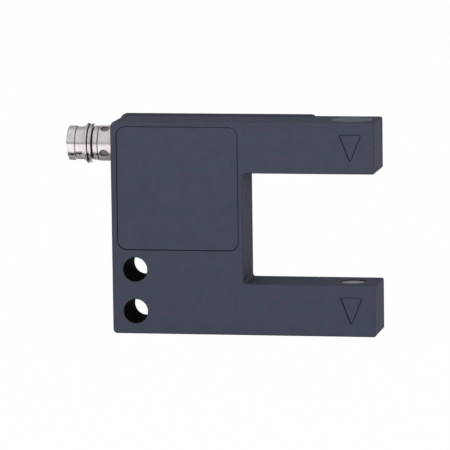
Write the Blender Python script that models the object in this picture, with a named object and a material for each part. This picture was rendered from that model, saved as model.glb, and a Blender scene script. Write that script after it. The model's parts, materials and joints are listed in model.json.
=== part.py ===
# Fork sensor: a U-shaped light barrier with a snap-in plug connector.
# X runs from the connector to the arm tips, Y from the front to the rear cover, Z up.
# The origin is the centre of the housing's bottom face.

import math

import bmesh
import bpy
from mathutils import Matrix, Vector

MM = 0.001

# Housing
BODY_WIDTH = 60.0 * MM
SLOT_DEPTH = 30.0 * MM
SLOT_OPENING = 25.0 * MM
ARM_HEIGHT = 11.65 * MM
THICKNESS = 13.0 * MM
WALL = 1.6 * MM
FRONT_WALL = 2.0 * MM
EDGE_CHAMFER = 0.2 * MM
OUTER_RADIUS = 1.2 * MM
TIP_RADIUS = 0.5 * MM
SLOT_RADIUS = 0.65 * MM
CAVITY_RADIUS = 1.5 * MM
CAVITY_NUT_CORNER = 0.4 * MM

# Clearances
SEAT_GAP = 0.3 * MM
FIT_CLEARANCE = 0.2 * MM
SOLDER_GAP = 0.1 * MM
OVERCUT = 1.0 * MM

# Mounting holes
HOLE_RADIUS = 2.75 * MM
HOLE_FROM_LEFT = 5.25 * MM
HOLE_FROM_BOTTOM = 5.1 * MM
HOLE_PITCH = 9.5 * MM
MOUNT_MARGIN = 5.0 * MM

# Rear cover and its seal
COVER_THICKNESS = 1.6 * MM
COVER_PROUD = 0.4 * MM
COVER_REACH = 15.2 * MM
COVER_END_RADIUS = 1.4 * MM
COVER_CORNER = 0.3 * MM
MOUNT_CORNER = 1.0 * MM
SEAL_LAND = 0.35 * MM
SEAL_GROOVE_WIDTH = 0.9 * MM
SEAL_GROOVE_DEPTH = 0.8 * MM
SEAL_CLEARANCE = 0.15 * MM

# Cover screws
SCREW_INSET = 2.4 * MM
SCREW_LAND = 3.0 * MM
SCREW_RADIUS = 1.0 * MM
SCREW_HEAD_RADIUS = 1.7 * MM
SCREW_HEAD_HEIGHT = 0.9 * MM
SCREW_LENGTH = 5.0 * MM
SCREW_RECESS = 0.1 * MM
SCREW_KEY_RADIUS = 0.75 * MM
SCREW_KEY_DEPTH = 0.6 * MM
TOP_SCREW_FROM_LEFT = 15.0 * MM

# Raised marks on the front
MARK_PROUD = 0.2 * MM
MARK_SLOPE = 0.12 * MM
MARK_ROOT = 0.5 * MM
FIELD_LEFT_MARGIN = 1.2 * MM
FIELD_RIGHT_MARGIN = 1.0 * MM
FIELD_TOP_MARGIN = 1.3 * MM
FIELD_HEIGHT = 27.8 * MM
FIELD_RADIUS = 2.0 * MM
ARROW_WIDTH = 4.7 * MM
ARROW_HEIGHT = 6.0 * MM

# Optics, with heights measured from each arm's inner face
OPTIC_FROM_TIP = 6.0 * MM
APERTURE_RADIUS = 3.0 * MM
LEDGE_HEIGHT = 0.8 * MM
BORE_RADIUS = 4.0 * MM
LENS_RECESS = 0.1 * MM
LENS_FLANGE_HEIGHT = 0.8 * MM
LENS_BULGE = 0.9 * MM
HOLDER_HEIGHT = 5.1 * MM
DIODE_RADIUS = 1.5 * MM
DIODE_HEIGHT = 2.6 * MM
DIODE_FLANGE_RADIUS = 1.9 * MM
DIODE_FLANGE_HEIGHT = 1.0 * MM
DIODE_LEG_WIDTH = 0.5 * MM
DIODE_LEG_PITCH = 2.54 * MM
DIODE_LEG_STUB = 0.5 * MM
OPTIC_BOARD_THICKNESS = 0.8 * MM
PLUG_RADIUS = 4.8 * MM
PLUG_THICKNESS = 1.3 * MM
PLUG_RIM = 0.7 * MM
PLUG_DISH_DEPTH = 0.3 * MM
TUNNEL_WIDTH = 3.0 * MM
TUNNEL_HEIGHT = 1.9 * MM

# Circuit board
BOARD_THICKNESS = 1.0 * MM
BOARD_MARGIN = 0.8 * MM
BOARD_CORNER = 0.8 * MM
BOARD_LEFT_SET_BACK = 5.9 * MM
POST_HEIGHT = 1.0 * MM
POST_RADIUS = 1.8 * MM
BOARD_SCREW_RADIUS = 0.8 * MM
BOARD_SCREW_HEAD_RADIUS = 1.5 * MM
BOARD_SCREW_HEAD_HEIGHT = 0.9 * MM
BOARD_SCREW_BITE = 1.6 * MM

# Connector, with distances measured outwards from the housing's left face
CONNECTOR_DROP = 5.8 * MM
COLLAR_RADIUS = 4.0 * MM
COLLAR_LENGTH = 3.2 * MM
COLLAR_WALL = 0.55 * MM
COLLAR_FLOOR = 0.6 * MM
NECK_RADIUS = 3.0 * MM
NECK_WALL = 0.5 * MM
NECK_LENGTH = 4.4 * MM
CRIMP_RADIUS = 1.05 * MM
CRIMP_DEPTH = 0.3 * MM
CRIMP_PLACE = 2.15 * MM
CRIMP_ANGLE = math.radians(27.0)
CRIMP_COUNT = 4
SLEEVE_REACH = 10.75 * MM
SLEEVE_RADIUS = 3.92 * MM
SLEEVE_WAIST_RADIUS = 3.72 * MM
SLEEVE_BORE_RADIUS = 3.3 * MM
SLEEVE_TAIL_WALL = 0.45 * MM
RIB_RADIUS = 4.55 * MM
CARRIER_FLANGE_HEIGHT = 0.8 * MM
PIN_RADIUS = 0.45 * MM
PIN_CIRCLE_RADIUS = 1.5 * MM
PIN_SET_BACK = 1.4 * MM
PIN_TAIL = 1.0 * MM
PIN_COUNT = 3
NUT_RADIUS = 3.9 * MM
NUT_THICKNESS = 1.5 * MM
NUT_SLOT_WIDTH = 1.0 * MM
NUT_SLOT_DEPTH = 0.35 * MM
RING_SECTION = 0.5 * MM

# The connector sleeve's fine forms
GROOVE = 0.15 * MM
RIM_CHAMFER = 0.2 * MM
SLEEVE_FLOOR = 0.5 * MM

# Parts on the circuit board, each size as width, height and depth
CONTROLLER_SIZE = (5.0 * MM, 5.0 * MM, 1.2 * MM)
REGULATOR_SIZE = (3.6 * MM, 4.2 * MM, 1.5 * MM)
SWITCH_SIZE = (2.4 * MM, 3.2 * MM, 1.2 * MM)
CHIP_BEVEL = 0.15 * MM
CHIP_LEG = 0.7 * MM
CAN_RADIUS = 1.9 * MM
CAN_HEIGHT = 4.6 * MM
CAN_FOOT = 0.5 * MM
PART_INSET = 3.0 * MM
PART_PITCH = 5.0 * MM

# Leads inside the housing
LEAD_RADIUS = 0.4 * MM
LEAD_SPACING = 1.4 * MM
LEAD_PAD_INSET = 1.2 * MM
LEAD_POINTS = 12

# Facets
ARC_STEPS = 3
FINE_TURN = 32
SMALL_TURN = 16
SMOOTH_ANGLE = math.radians(35.0)

# Planes and centres that follow from the sizes
LEFT = -BODY_WIDTH / 2
TIP = BODY_WIDTH / 2
SLOT_BASE = TIP - SLOT_DEPTH
SLOT_BOTTOM = ARM_HEIGHT
SLOT_TOP = ARM_HEIGHT + SLOT_OPENING
TOP = 2 * ARM_HEIGHT + SLOT_OPENING
FRONT = -THICKNESS / 2
BACK = THICKNESS / 2
REBATE_FLOOR = BACK - COVER_THICKNESS - SEAT_GAP
CAVITY_FLOOR = FRONT + FRONT_WALL
HOLE_X = LEFT + HOLE_FROM_LEFT
HOLE_HEIGHTS = (HOLE_FROM_BOTTOM, HOLE_FROM_BOTTOM + HOLE_PITCH)
MOUNT_RIGHT = HOLE_X + MOUNT_MARGIN
MOUNT_TOP = HOLE_HEIGHTS[1] + MOUNT_MARGIN
COVER_END = SLOT_BASE + COVER_REACH
SCREW_BLOCK = SCREW_INSET + SCREW_LAND
CAVITY_END = COVER_END - SCREW_BLOCK
TOP_SCREW_X = LEFT + TOP_SCREW_FROM_LEFT
OPTIC_X = TIP - OPTIC_FROM_TIP
CONNECTOR_Z = TOP - CONNECTOR_DROP
BOARD_FRONT = CAVITY_FLOOR + POST_HEIGHT + SEAT_GAP
BOARD_REAR = BOARD_FRONT + BOARD_THICKNESS

# Heights in the optical stack, from an arm's inner face outwards
LENS_SEAT = LEDGE_HEIGHT + FIT_CLEARANCE
LENS_BACK = LENS_SEAT + LENS_FLANGE_HEIGHT
HOLDER_START = LENS_BACK + SEAT_GAP
HOLDER_END = HOLDER_START + HOLDER_HEIGHT
DIODE_FLANGE_END = HOLDER_END - FIT_CLEARANCE
DIODE_FLANGE_START = DIODE_FLANGE_END - DIODE_FLANGE_HEIGHT
OPTIC_BOARD_START = HOLDER_END + SEAT_GAP
OPTIC_BOARD_END = OPTIC_BOARD_START + OPTIC_BOARD_THICKNESS
PLUG_SEAT = ARM_HEIGHT - PLUG_THICKNESS - SEAT_GAP
TUNNEL_START = OPTIC_BOARD_END - SEAT_GAP
TUNNEL_MIDDLE = TUNNEL_START + TUNNEL_HEIGHT / 2

# Screw places on the rear cover and on the circuit board
COVER_SCREWS = (
    (COVER_END - SCREW_INSET, SLOT_TOP + ARM_HEIGHT / 2),
    (COVER_END - SCREW_INSET, ARM_HEIGHT / 2),
    (MOUNT_RIGHT + SEAT_GAP + SCREW_INSET, SCREW_INSET),
    (LEFT + SCREW_INSET, MOUNT_TOP + SEAT_GAP + SCREW_INSET),
    (TOP_SCREW_X, TOP - SCREW_INSET),
)
BOARD_LEFT = LEFT + WALL + BOARD_LEFT_SET_BACK
BOARD_RIGHT = SLOT_BASE - WALL - BOARD_MARGIN
BOARD_TOP = TOP - SCREW_BLOCK - BOARD_MARGIN
BOARD_STEP_Z = MOUNT_TOP + SCREW_BLOCK
BOARD_TONGUE_LEFT = MOUNT_RIGHT + WALL + BOARD_MARGIN
BOARD_BOTTOM = SCREW_BLOCK + BOARD_MARGIN
POST_INSET = POST_RADIUS + FIT_CLEARANCE
BOARD_SCREWS = (
    (BOARD_LEFT + POST_INSET, BOARD_STEP_Z + POST_INSET),
    ((BOARD_LEFT + BOARD_RIGHT) / 2, BOARD_TOP - POST_INSET),
    (BOARD_TONGUE_LEFT + POST_INSET, BOARD_BOTTOM + POST_INSET),
)


def clear_scene():
    for obj in list(bpy.data.objects):
        bpy.data.objects.remove(obj, do_unlink=True)


def finish(name, colour, roughness, metallic=0.0, alpha=1.0):
    material = bpy.data.materials.new(name)
    material.use_nodes = True
    shader = material.node_tree.nodes["Principled BSDF"]
    shader.inputs["Base Color"].default_value = (*colour, 1.0)
    shader.inputs["Roughness"].default_value = roughness
    shader.inputs["Metallic"].default_value = metallic
    shader.inputs["Alpha"].default_value = alpha
    return material


def make_finishes():
    return {
        "coat": finish("blue_grey_coat", (0.058, 0.067, 0.095), 0.6),
        "nickel": finish("nickel_plate", (0.72, 0.69, 0.67), 0.22, 1.0),
        "steel": finish("dark_steel", (0.30, 0.30, 0.31), 0.4, 1.0),
        "gold": finish("gold_flash", (0.85, 0.62, 0.28), 0.3, 1.0),
        "insulator": finish("black_insulator", (0.02, 0.02, 0.022), 0.5),
        "rubber": finish("black_rubber", (0.015, 0.015, 0.016), 0.8),
        "lens": finish("smoked_lens", (0.08, 0.085, 0.10), 0.1),
        "plug": finish("grey_plug", (0.085, 0.092, 0.115), 0.45),
        "diode": finish("clear_epoxy", (0.30, 0.36, 0.42), 0.1),
        "board": finish("green_board", (0.02, 0.16, 0.07), 0.45),
        "chip": finish("chip_moulding", (0.025, 0.025, 0.028), 0.55),
        "can": finish("capacitor_can", (0.62, 0.63, 0.65), 0.3, 1.0),
        "brown": finish("brown_lead", (0.13, 0.05, 0.02), 0.5),
        "blue": finish("blue_lead", (0.02, 0.07, 0.35), 0.5),
        "black": finish("black_lead", (0.012, 0.012, 0.013), 0.5),
        "red": finish("red_lead", (0.42, 0.02, 0.02), 0.5),
    }


def signed_area(corners):
    area = 0.0
    for (x0, z0, _), (x1, z1, _) in zip(corners, corners[1:] + corners[:1]):
        area += x0 * z1 - x1 * z0
    return area / 2


# Rounds the corners (x, z, radius) of an outline, after moving every side inwards by inset.
def rounded(corners, inset=0.0):
    if signed_area(corners) < 0:
        corners = corners[::-1]
    points = []
    for index, (x, z, radius) in enumerate(corners):
        corner = Vector((x, z))
        before = (corner - Vector(corners[index - 1][:2])).normalized()
        after = (Vector(corners[(index + 1) % len(corners)][:2]) - corner).normalized()
        normal_before = Vector((-before.y, before.x))
        normal_after = Vector((-after.y, after.x))
        corner += (normal_before + normal_after) * inset / (1.0 + normal_before.dot(normal_after))
        turn = math.atan2(before.x * after.y - before.y * after.x, before.dot(after))
        if radius == 0.0:
            points.append(corner)
            continue
        side = math.copysign(1.0, turn)
        bend = radius - side * inset
        start = corner - before * bend * math.tan(abs(turn) / 2)
        centre = start + normal_before * side * bend
        for step in range(ARC_STEPS + 1):
            angle = turn * step / ARC_STEPS
            arm = start - centre
            points.append(centre + Vector((
                arm.x * math.cos(angle) - arm.y * math.sin(angle),
                arm.x * math.sin(angle) + arm.y * math.cos(angle),
            )))
    return points


def add_object(name, bm, material, location=(0.0, 0.0, 0.0), rotation=(0.0, 0.0, 0.0)):
    bmesh.ops.recalc_face_normals(bm, faces=bm.faces)
    mesh = bpy.data.meshes.new(name)
    bm.to_mesh(mesh)
    bm.free()
    if material is not None:
        mesh.materials.append(material)
    obj = bpy.data.objects.new(name, mesh)
    bpy.context.scene.collection.objects.link(obj)
    obj.location = location
    obj.rotation_euler = rotation
    smooth(obj)
    return obj


def smooth(obj):
    obj.data.shade_smooth()
    obj.data.set_sharp_from_angle(angle=SMOOTH_ANGLE)


def bridge(bm, ring_a, ring_b):
    count = len(ring_a)
    for index in range(count):
        following = (index + 1) % count
        bm.faces.new((ring_a[index], ring_a[following], ring_b[following], ring_b[index]))


# A solid through outlines in the XZ plane, each (y, points), capped at both ends.
def loft(layers):
    bm = bmesh.new()
    rings = []
    for y, points in layers:
        rings.append([bm.verts.new((point.x, y, point.y)) for point in points])
    for ring_a, ring_b in zip(rings, rings[1:]):
        bridge(bm, ring_a, ring_b)
    bm.faces.new(rings[0])
    bm.faces.new(rings[-1])
    return bm


def prism(corners, near, far, inset=0.0):
    outline = rounded(corners, inset)
    return loft([(near, outline), (far, outline)])


# A band between two insets of one outline, closed into a ring of square section.
def band(corners, near, far, outer_inset, inner_inset):
    outer = rounded(corners, outer_inset)
    inner = rounded(corners, inner_inset)
    bm = bmesh.new()
    rings = []
    for y, points in ((near, outer), (far, outer), (far, inner), (near, inner)):
        rings.append([bm.verts.new((point.x, y, point.y)) for point in points])
    for ring_a, ring_b in zip(rings, rings[1:] + rings[:1]):
        bridge(bm, ring_a, ring_b)
    return bm


# Turns a profile of (radius, height) points about Z. A profile that leaves the axis out closes on itself.
def turned(profile, segments):
    bm = bmesh.new()
    rings = []
    for radius, height in profile:
        if radius == 0.0:
            rings.append([bm.verts.new((0.0, 0.0, height))])
            continue
        ring = []
        for index in range(segments):
            angle = 2 * math.pi * index / segments
            ring.append(bm.verts.new((radius * math.cos(angle), radius * math.sin(angle), height)))
        rings.append(ring)
    pairs = list(zip(rings, rings[1:]))
    if profile[0][0] != 0.0:
        pairs.append((rings[-1], rings[0]))
    for ring_a, ring_b in pairs:
        for index in range(segments):
            following = (index + 1) % segments
            corners = [ring_a[index % len(ring_a)], ring_a[following % len(ring_a)],
                       ring_b[following % len(ring_b)], ring_b[index % len(ring_b)]]
            distinct = list(dict.fromkeys(corners))
            if len(distinct) > 2:
                bm.faces.new(distinct)
    return bm


def rod(radius, start, end, segments):
    bm = bmesh.new()
    middle = Matrix.Translation((0.0, 0.0, (start + end) / 2))
    bmesh.ops.create_cone(bm, cap_ends=True, segments=segments, radius1=radius, radius2=radius,
                          depth=end - start, matrix=middle)
    return bm


def block(low, high, bevel=0.0):
    bm = bmesh.new()
    bmesh.ops.create_cube(bm, size=1.0)
    for vert in bm.verts:
        for axis in range(3):
            middle = (low[axis] + high[axis]) / 2
            vert.co[axis] = middle + vert.co[axis] * (high[axis] - low[axis])
    if bevel > 0.0:
        bmesh.ops.bevel(bm, geom=bm.edges, offset=bevel, segments=1, affect="EDGES")
    return bm


ALONG_Y = (-math.pi / 2, 0.0, 0.0)
ALONG_MINUS_X = (0.0, -math.pi / 2, 0.0)


def combine(target, tools, operation):
    for tool in tools:
        modifier = target.modifiers.new(tool.name, "BOOLEAN")
        modifier.operation = operation
        modifier.solver = "EXACT"
        modifier.object = tool
    depsgraph = bpy.context.evaluated_depsgraph_get()
    result = bpy.data.meshes.new_from_object(target.evaluated_get(depsgraph))
    target.modifiers.clear()
    target.data = result
    for tool in tools:
        bpy.data.objects.remove(tool, do_unlink=True)
    smooth(target)


def cut(target, tools):
    combine(target, tools, "DIFFERENCE")


def fuse(target, tools):
    combine(target, tools, "UNION")


def tool_object(bm, location=(0.0, 0.0, 0.0), rotation=(0.0, 0.0, 0.0)):
    return add_object("shaping_tool", bm, None, location, rotation)


def housing_corners():
    return [
        (LEFT, 0.0, OUTER_RADIUS),
        (TIP, 0.0, TIP_RADIUS),
        (TIP, SLOT_BOTTOM, TIP_RADIUS),
        (SLOT_BASE, SLOT_BOTTOM, SLOT_RADIUS),
        (SLOT_BASE, SLOT_TOP, SLOT_RADIUS),
        (TIP, SLOT_TOP, TIP_RADIUS),
        (TIP, TOP, TIP_RADIUS),
        (LEFT, TOP, OUTER_RADIUS),
    ]


# The cavity goes round the cover's screws, so that the seal lies inside them.
def cavity_corners():
    right = SLOT_BASE - WALL
    tongue_left = MOUNT_RIGHT + SEAT_GAP
    shelf = MOUNT_TOP + SEAT_GAP
    radius = CAVITY_RADIUS
    return [
        (tongue_left + SCREW_BLOCK, WALL, radius),
        (CAVITY_END, WALL, radius),
        (CAVITY_END, SLOT_BOTTOM - WALL, radius),
        (right, SLOT_BOTTOM - WALL, radius),
        (right, SLOT_TOP + WALL, radius),
        (CAVITY_END, SLOT_TOP + WALL, radius),
        (CAVITY_END, TOP - WALL, radius),
        (TOP_SCREW_X + SCREW_LAND, TOP - WALL, radius),
        (TOP_SCREW_X + SCREW_LAND, TOP - SCREW_BLOCK, radius),
        (TOP_SCREW_X - SCREW_LAND, TOP - SCREW_BLOCK, radius),
        (TOP_SCREW_X - SCREW_LAND, TOP - WALL, radius),
        (LEFT + WALL, TOP - WALL, CAVITY_NUT_CORNER),
        (LEFT + WALL, shelf + SCREW_BLOCK, radius),
        (LEFT + SCREW_BLOCK, shelf + SCREW_BLOCK, radius),
        (LEFT + SCREW_BLOCK, shelf + WALL, radius),
        (tongue_left + WALL, shelf + WALL, radius),
        (tongue_left + WALL, SCREW_BLOCK, radius),
        (tongue_left + SCREW_BLOCK, SCREW_BLOCK, radius),
    ]


def cover_corners():
    return [
        (MOUNT_RIGHT + SEAT_GAP, 0.0, COVER_CORNER),
        (COVER_END, 0.0, COVER_END_RADIUS),
        (COVER_END, SLOT_BOTTOM, COVER_CORNER),
        (SLOT_BASE, SLOT_BOTTOM, SLOT_RADIUS),
        (SLOT_BASE, SLOT_TOP, SLOT_RADIUS),
        (COVER_END, SLOT_TOP, COVER_CORNER),
        (COVER_END, TOP + COVER_PROUD, COVER_END_RADIUS),
        (LEFT, TOP + COVER_PROUD, OUTER_RADIUS),
        (LEFT, MOUNT_TOP + SEAT_GAP, COVER_CORNER),
        (MOUNT_RIGHT + SEAT_GAP, MOUNT_TOP + SEAT_GAP, MOUNT_CORNER),
    ]


# The recess for the cover is open to the left, top and bottom, and stops at the mounting corner.
def rebate_corners():
    return [
        (MOUNT_RIGHT, -OVERCUT, 0.0),
        (COVER_END + SEAT_GAP, -OVERCUT, 0.0),
        (COVER_END + SEAT_GAP, TOP + OVERCUT, 0.0),
        (LEFT - OVERCUT, TOP + OVERCUT, 0.0),
        (LEFT - OVERCUT, MOUNT_TOP, 0.0),
        (MOUNT_RIGHT, MOUNT_TOP, MOUNT_CORNER + SEAT_GAP),
    ]


def raised_mark(corners):
    outline = rounded(corners)
    face = rounded(corners, MARK_SLOPE)
    return tool_object(loft([(FRONT - MARK_PROUD, face), (FRONT, outline), (FRONT + MARK_ROOT, outline)]))


def field_mark():
    left = LEFT + FIELD_LEFT_MARGIN
    right = SLOT_BASE - FIELD_RIGHT_MARGIN
    top = TOP - FIELD_TOP_MARGIN
    bottom = top - FIELD_HEIGHT
    corners = [(left, bottom), (right, bottom), (right, top), (left, top)]
    return raised_mark([(x, z, FIELD_RADIUS) for x, z in corners])


# The arrow points down, from the sender to the receiver.
def arrow_mark(arm_bottom):
    middle = arm_bottom + ARM_HEIGHT / 2
    corners = [
        (OPTIC_X - ARROW_WIDTH / 2, middle + ARROW_HEIGHT / 2, 0.0),
        (OPTIC_X, middle - ARROW_HEIGHT / 2, 0.0),
        (OPTIC_X + ARROW_WIDTH / 2, middle + ARROW_HEIGHT / 2, 0.0),
    ]
    return raised_mark(corners)


# Each arm's optics stand on its inner face: the upper stack points up, the lower one down.
def optic_place(upper):
    if upper:
        return (OPTIC_X, 0.0, SLOT_TOP), (0.0, 0.0, 0.0)
    return (OPTIC_X, 0.0, SLOT_BOTTOM), (math.pi, 0.0, 0.0)


def optic_bore(upper):
    profile = [
        (0.0, -OVERCUT),
        (APERTURE_RADIUS, -OVERCUT),
        (APERTURE_RADIUS, LEDGE_HEIGHT),
        (BORE_RADIUS, LEDGE_HEIGHT),
        (BORE_RADIUS, PLUG_SEAT),
        (PLUG_RADIUS + FIT_CLEARANCE, PLUG_SEAT),
        (PLUG_RADIUS + FIT_CLEARANCE, ARM_HEIGHT + OVERCUT),
        (0.0, ARM_HEIGHT + OVERCUT),
    ]
    location, rotation = optic_place(upper)
    return tool_object(turned(profile, FINE_TURN), location, rotation)


def lead_tunnel(upper):
    low = (CAVITY_END - OVERCUT, -TUNNEL_WIDTH / 2, TUNNEL_START)
    high = (OPTIC_X - BORE_RADIUS / 2, TUNNEL_WIDTH / 2, TUNNEL_START + TUNNEL_HEIGHT)
    shift = SLOT_TOP
    if not upper:
        low, high = (low[0], low[1], -high[2]), (high[0], high[1], -low[2])
        shift = SLOT_BOTTOM
    return tool_object(block(low, high), (0.0, 0.0, shift))


def board_posts():
    posts = []
    for x, z in BOARD_SCREWS:
        bm = rod(POST_RADIUS, CAVITY_FLOOR - MARK_ROOT, CAVITY_FLOOR + POST_HEIGHT, SMALL_TURN)
        posts.append(tool_object(bm, (x, 0.0, z), ALONG_Y))
    return posts


def housing_holes():
    tools = []
    for z in HOLE_HEIGHTS:
        bm = rod(HOLE_RADIUS, FRONT - OVERCUT, BACK + OVERCUT, FINE_TURN)
        tools.append(tool_object(bm, (HOLE_X, 0.0, z), ALONG_Y))
    for x, z in COVER_SCREWS:
        depth = BACK - SCREW_RECESS - SCREW_LENGTH - SEAT_GAP
        bm = rod(SCREW_RADIUS + SEAT_GAP, depth, BACK, SMALL_TURN)
        tools.append(tool_object(bm, (x, 0.0, z), ALONG_Y))
    for x, z in BOARD_SCREWS:
        depth = CAVITY_FLOOR + POST_HEIGHT - BOARD_SCREW_BITE - SEAT_GAP
        bm = rod(BOARD_SCREW_RADIUS + FIT_CLEARANCE, depth, CAVITY_FLOOR + OVERCUT + POST_HEIGHT, SMALL_TURN)
        tools.append(tool_object(bm, (x, 0.0, z), ALONG_Y))
    bm = rod(NECK_RADIUS + FIT_CLEARANCE, -WALL - OVERCUT, OVERCUT, FINE_TURN)
    tools.append(tool_object(bm, (LEFT, 0.0, CONNECTOR_Z), ALONG_MINUS_X))
    return tools


def make_housing(finishes):
    outline = rounded(housing_corners())
    soft = rounded(housing_corners(), EDGE_CHAMFER)
    body = loft([(FRONT, soft), (FRONT + EDGE_CHAMFER, outline), (BACK - EDGE_CHAMFER, outline), (BACK, soft)])
    housing = add_object("housing", body, finishes["coat"])
    groove_floor = REBATE_FLOOR - SEAL_GROOVE_DEPTH
    groove_outer = -SEAL_LAND - SEAL_GROOVE_WIDTH
    cut(housing, [
        tool_object(prism(rebate_corners(), REBATE_FLOOR, BACK + OVERCUT)),
        tool_object(prism(cavity_corners(), CAVITY_FLOOR, BACK)),
        tool_object(band(cavity_corners(), groove_floor, BACK, groove_outer, -SEAL_LAND)),
    ])
    fuse(housing, board_posts() + [field_mark(), arrow_mark(0.0), arrow_mark(SLOT_TOP)])
    bores = [optic_bore(True), optic_bore(False), lead_tunnel(True), lead_tunnel(False)]
    cut(housing, housing_holes() + bores)


def make_cover(finishes):
    outline = rounded(cover_corners())
    soft = rounded(cover_corners(), EDGE_CHAMFER)
    plate = loft([(BACK - COVER_THICKNESS, outline), (BACK - EDGE_CHAMFER, outline), (BACK, soft)])
    cover = add_object("rear_cover", plate, finishes["coat"])
    head = SCREW_HEAD_RADIUS + FIT_CLEARANCE
    shank = SCREW_RADIUS + FIT_CLEARANCE
    sink = [
        (0.0, -COVER_THICKNESS - OVERCUT),
        (shank, -COVER_THICKNESS - OVERCUT),
        (shank, -SCREW_RECESS - SCREW_HEAD_HEIGHT),
        (head, -SCREW_RECESS),
        (head, OVERCUT),
        (0.0, OVERCUT),
    ]
    cut(cover, [tool_object(turned(sink, SMALL_TURN), (x, BACK, z), ALONG_Y) for x, z in COVER_SCREWS])


def make_cover_seal(finishes):
    near = REBATE_FLOOR - SEAL_GROOVE_DEPTH + SEAL_CLEARANCE
    far = BACK - COVER_THICKNESS - SEAL_CLEARANCE
    outer = -SEAL_LAND - SEAL_GROOVE_WIDTH + SEAL_CLEARANCE
    inner = -SEAL_LAND - SEAL_CLEARANCE
    add_object("cover_seal", band(cavity_corners(), near, far, outer, inner), finishes["rubber"])


# Countersunk screw with a hexagon key, its head just below the cover's rear face.
def make_cover_screws(finishes):
    top = -SCREW_RECESS
    profile = [
        (0.0, top),
        (SCREW_HEAD_RADIUS, top),
        (SCREW_RADIUS, top - SCREW_HEAD_HEIGHT),
        (SCREW_RADIUS, top - SCREW_LENGTH),
        (0.0, top - SCREW_LENGTH),
    ]
    for index, (x, z) in enumerate(COVER_SCREWS, start=1):
        bm = turned(profile, SMALL_TURN)
        screw = add_object(f"cover_screw_{index}", bm, finishes["steel"], (x, BACK, z), ALONG_Y)
        key = rod(SCREW_KEY_RADIUS, top - SCREW_KEY_DEPTH, OVERCUT, 6)
        cut(screw, [tool_object(key, (x, BACK, z), ALONG_Y)])


def lens_profile():
    body = APERTURE_RADIUS - FIT_CLEARANCE
    flange = BORE_RADIUS - FIT_CLEARANCE
    profile = [
        (0.0, LENS_RECESS),
        (body, LENS_RECESS),
        (body, LENS_SEAT),
        (flange, LENS_SEAT),
        (flange, LENS_BACK),
    ]
    steps = 3
    for step in range(steps):
        angle = math.pi / 2 * step / steps
        profile.append((body * math.cos(angle), LENS_BACK + LENS_BULGE * math.sin(angle)))
    profile.append((0.0, LENS_BACK + LENS_BULGE))
    return profile


def holder_profile():
    outer = BORE_RADIUS - FIT_CLEARANCE
    throat = DIODE_RADIUS + FIT_CLEARANCE
    seat = DIODE_FLANGE_RADIUS + FIT_CLEARANCE
    shoulder = DIODE_FLANGE_START - SEAT_GAP
    funnel = shoulder - DIODE_HEIGHT / 2
    return [
        (outer, HOLDER_START),
        (outer, HOLDER_END),
        (seat, HOLDER_END),
        (seat, shoulder),
        (throat, shoulder),
        (throat, funnel),
        (APERTURE_RADIUS, HOLDER_START),
    ]


def diode_profile():
    profile = [
        (0.0, DIODE_FLANGE_END),
        (DIODE_FLANGE_RADIUS, DIODE_FLANGE_END),
        (DIODE_FLANGE_RADIUS, DIODE_FLANGE_START),
        (DIODE_RADIUS, DIODE_FLANGE_START),
    ]
    crown = DIODE_FLANGE_START - (DIODE_HEIGHT - DIODE_RADIUS)
    for step in range(ARC_STEPS):
        angle = math.pi / 2 * step / ARC_STEPS
        profile.append((DIODE_RADIUS * math.cos(angle), crown - DIODE_RADIUS * math.sin(angle)))
    profile.append((0.0, crown - DIODE_RADIUS))
    return profile


def plug_profile():
    seat = PLUG_SEAT + SEAT_GAP
    dish = PLUG_RADIUS - PLUG_RIM
    profile = [
        (0.0, seat),
        (PLUG_RADIUS, seat),
        (PLUG_RADIUS, ARM_HEIGHT - EDGE_CHAMFER),
        (PLUG_RADIUS - EDGE_CHAMFER, ARM_HEIGHT),
        (dish, ARM_HEIGHT),
    ]
    for step in range(1, ARC_STEPS):
        share = step / ARC_STEPS
        profile.append((dish * (1 - share), ARM_HEIGHT - PLUG_DISH_DEPTH * (1 - (1 - share) ** 2)))
    profile.append((0.0, ARM_HEIGHT - PLUG_DISH_DEPTH))
    return profile


def make_diode(name, upper, finishes):
    location, rotation = optic_place(upper)
    diode = add_object(name, turned(diode_profile(), SMALL_TURN), finishes["diode"], location, rotation)
    half = DIODE_LEG_WIDTH / 2
    legs = []
    for side in (-1, 1):
        x = side * DIODE_LEG_PITCH / 2
        low = (x - half, -half, DIODE_FLANGE_END - DIODE_FLANGE_HEIGHT / 2)
        high = (x + half, half, OPTIC_BOARD_END + DIODE_LEG_STUB)
        legs.append(tool_object(block(low, high), location, rotation))
    fuse(diode, legs)


def make_optic_board(name, upper, finishes):
    location, rotation = optic_place(upper)
    disc = rod(BORE_RADIUS - SEAT_GAP, OPTIC_BOARD_START, OPTIC_BOARD_END, SMALL_TURN)
    board = add_object(name, disc, finishes["board"], location, rotation)
    holes = []
    for side in (-1, 1):
        hole = rod(DIODE_LEG_WIDTH, OPTIC_BOARD_START - OVERCUT, OPTIC_BOARD_END + OVERCUT, 12)
        hole.transform(Matrix.Translation((side * DIODE_LEG_PITCH / 2, 0.0, 0.0)))
        holes.append(tool_object(hole, location, rotation))
    cut(board, holes)


def make_optics(side, upper, finishes):
    location, rotation = optic_place(upper)
    diode = "sender_diode" if upper else "receiver_diode"
    add_object(f"{side}_lens", turned(lens_profile(), FINE_TURN), finishes["lens"], location, rotation)
    holder = turned(holder_profile(), SMALL_TURN)
    add_object(f"{side}_holder", holder, finishes["insulator"], location, rotation)
    make_diode(diode, upper, finishes)
    make_optic_board(f"{side}_board", upper, finishes)
    add_object(f"{side}_plug", turned(plug_profile(), FINE_TURN), finishes["plug"], location, rotation)


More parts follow.
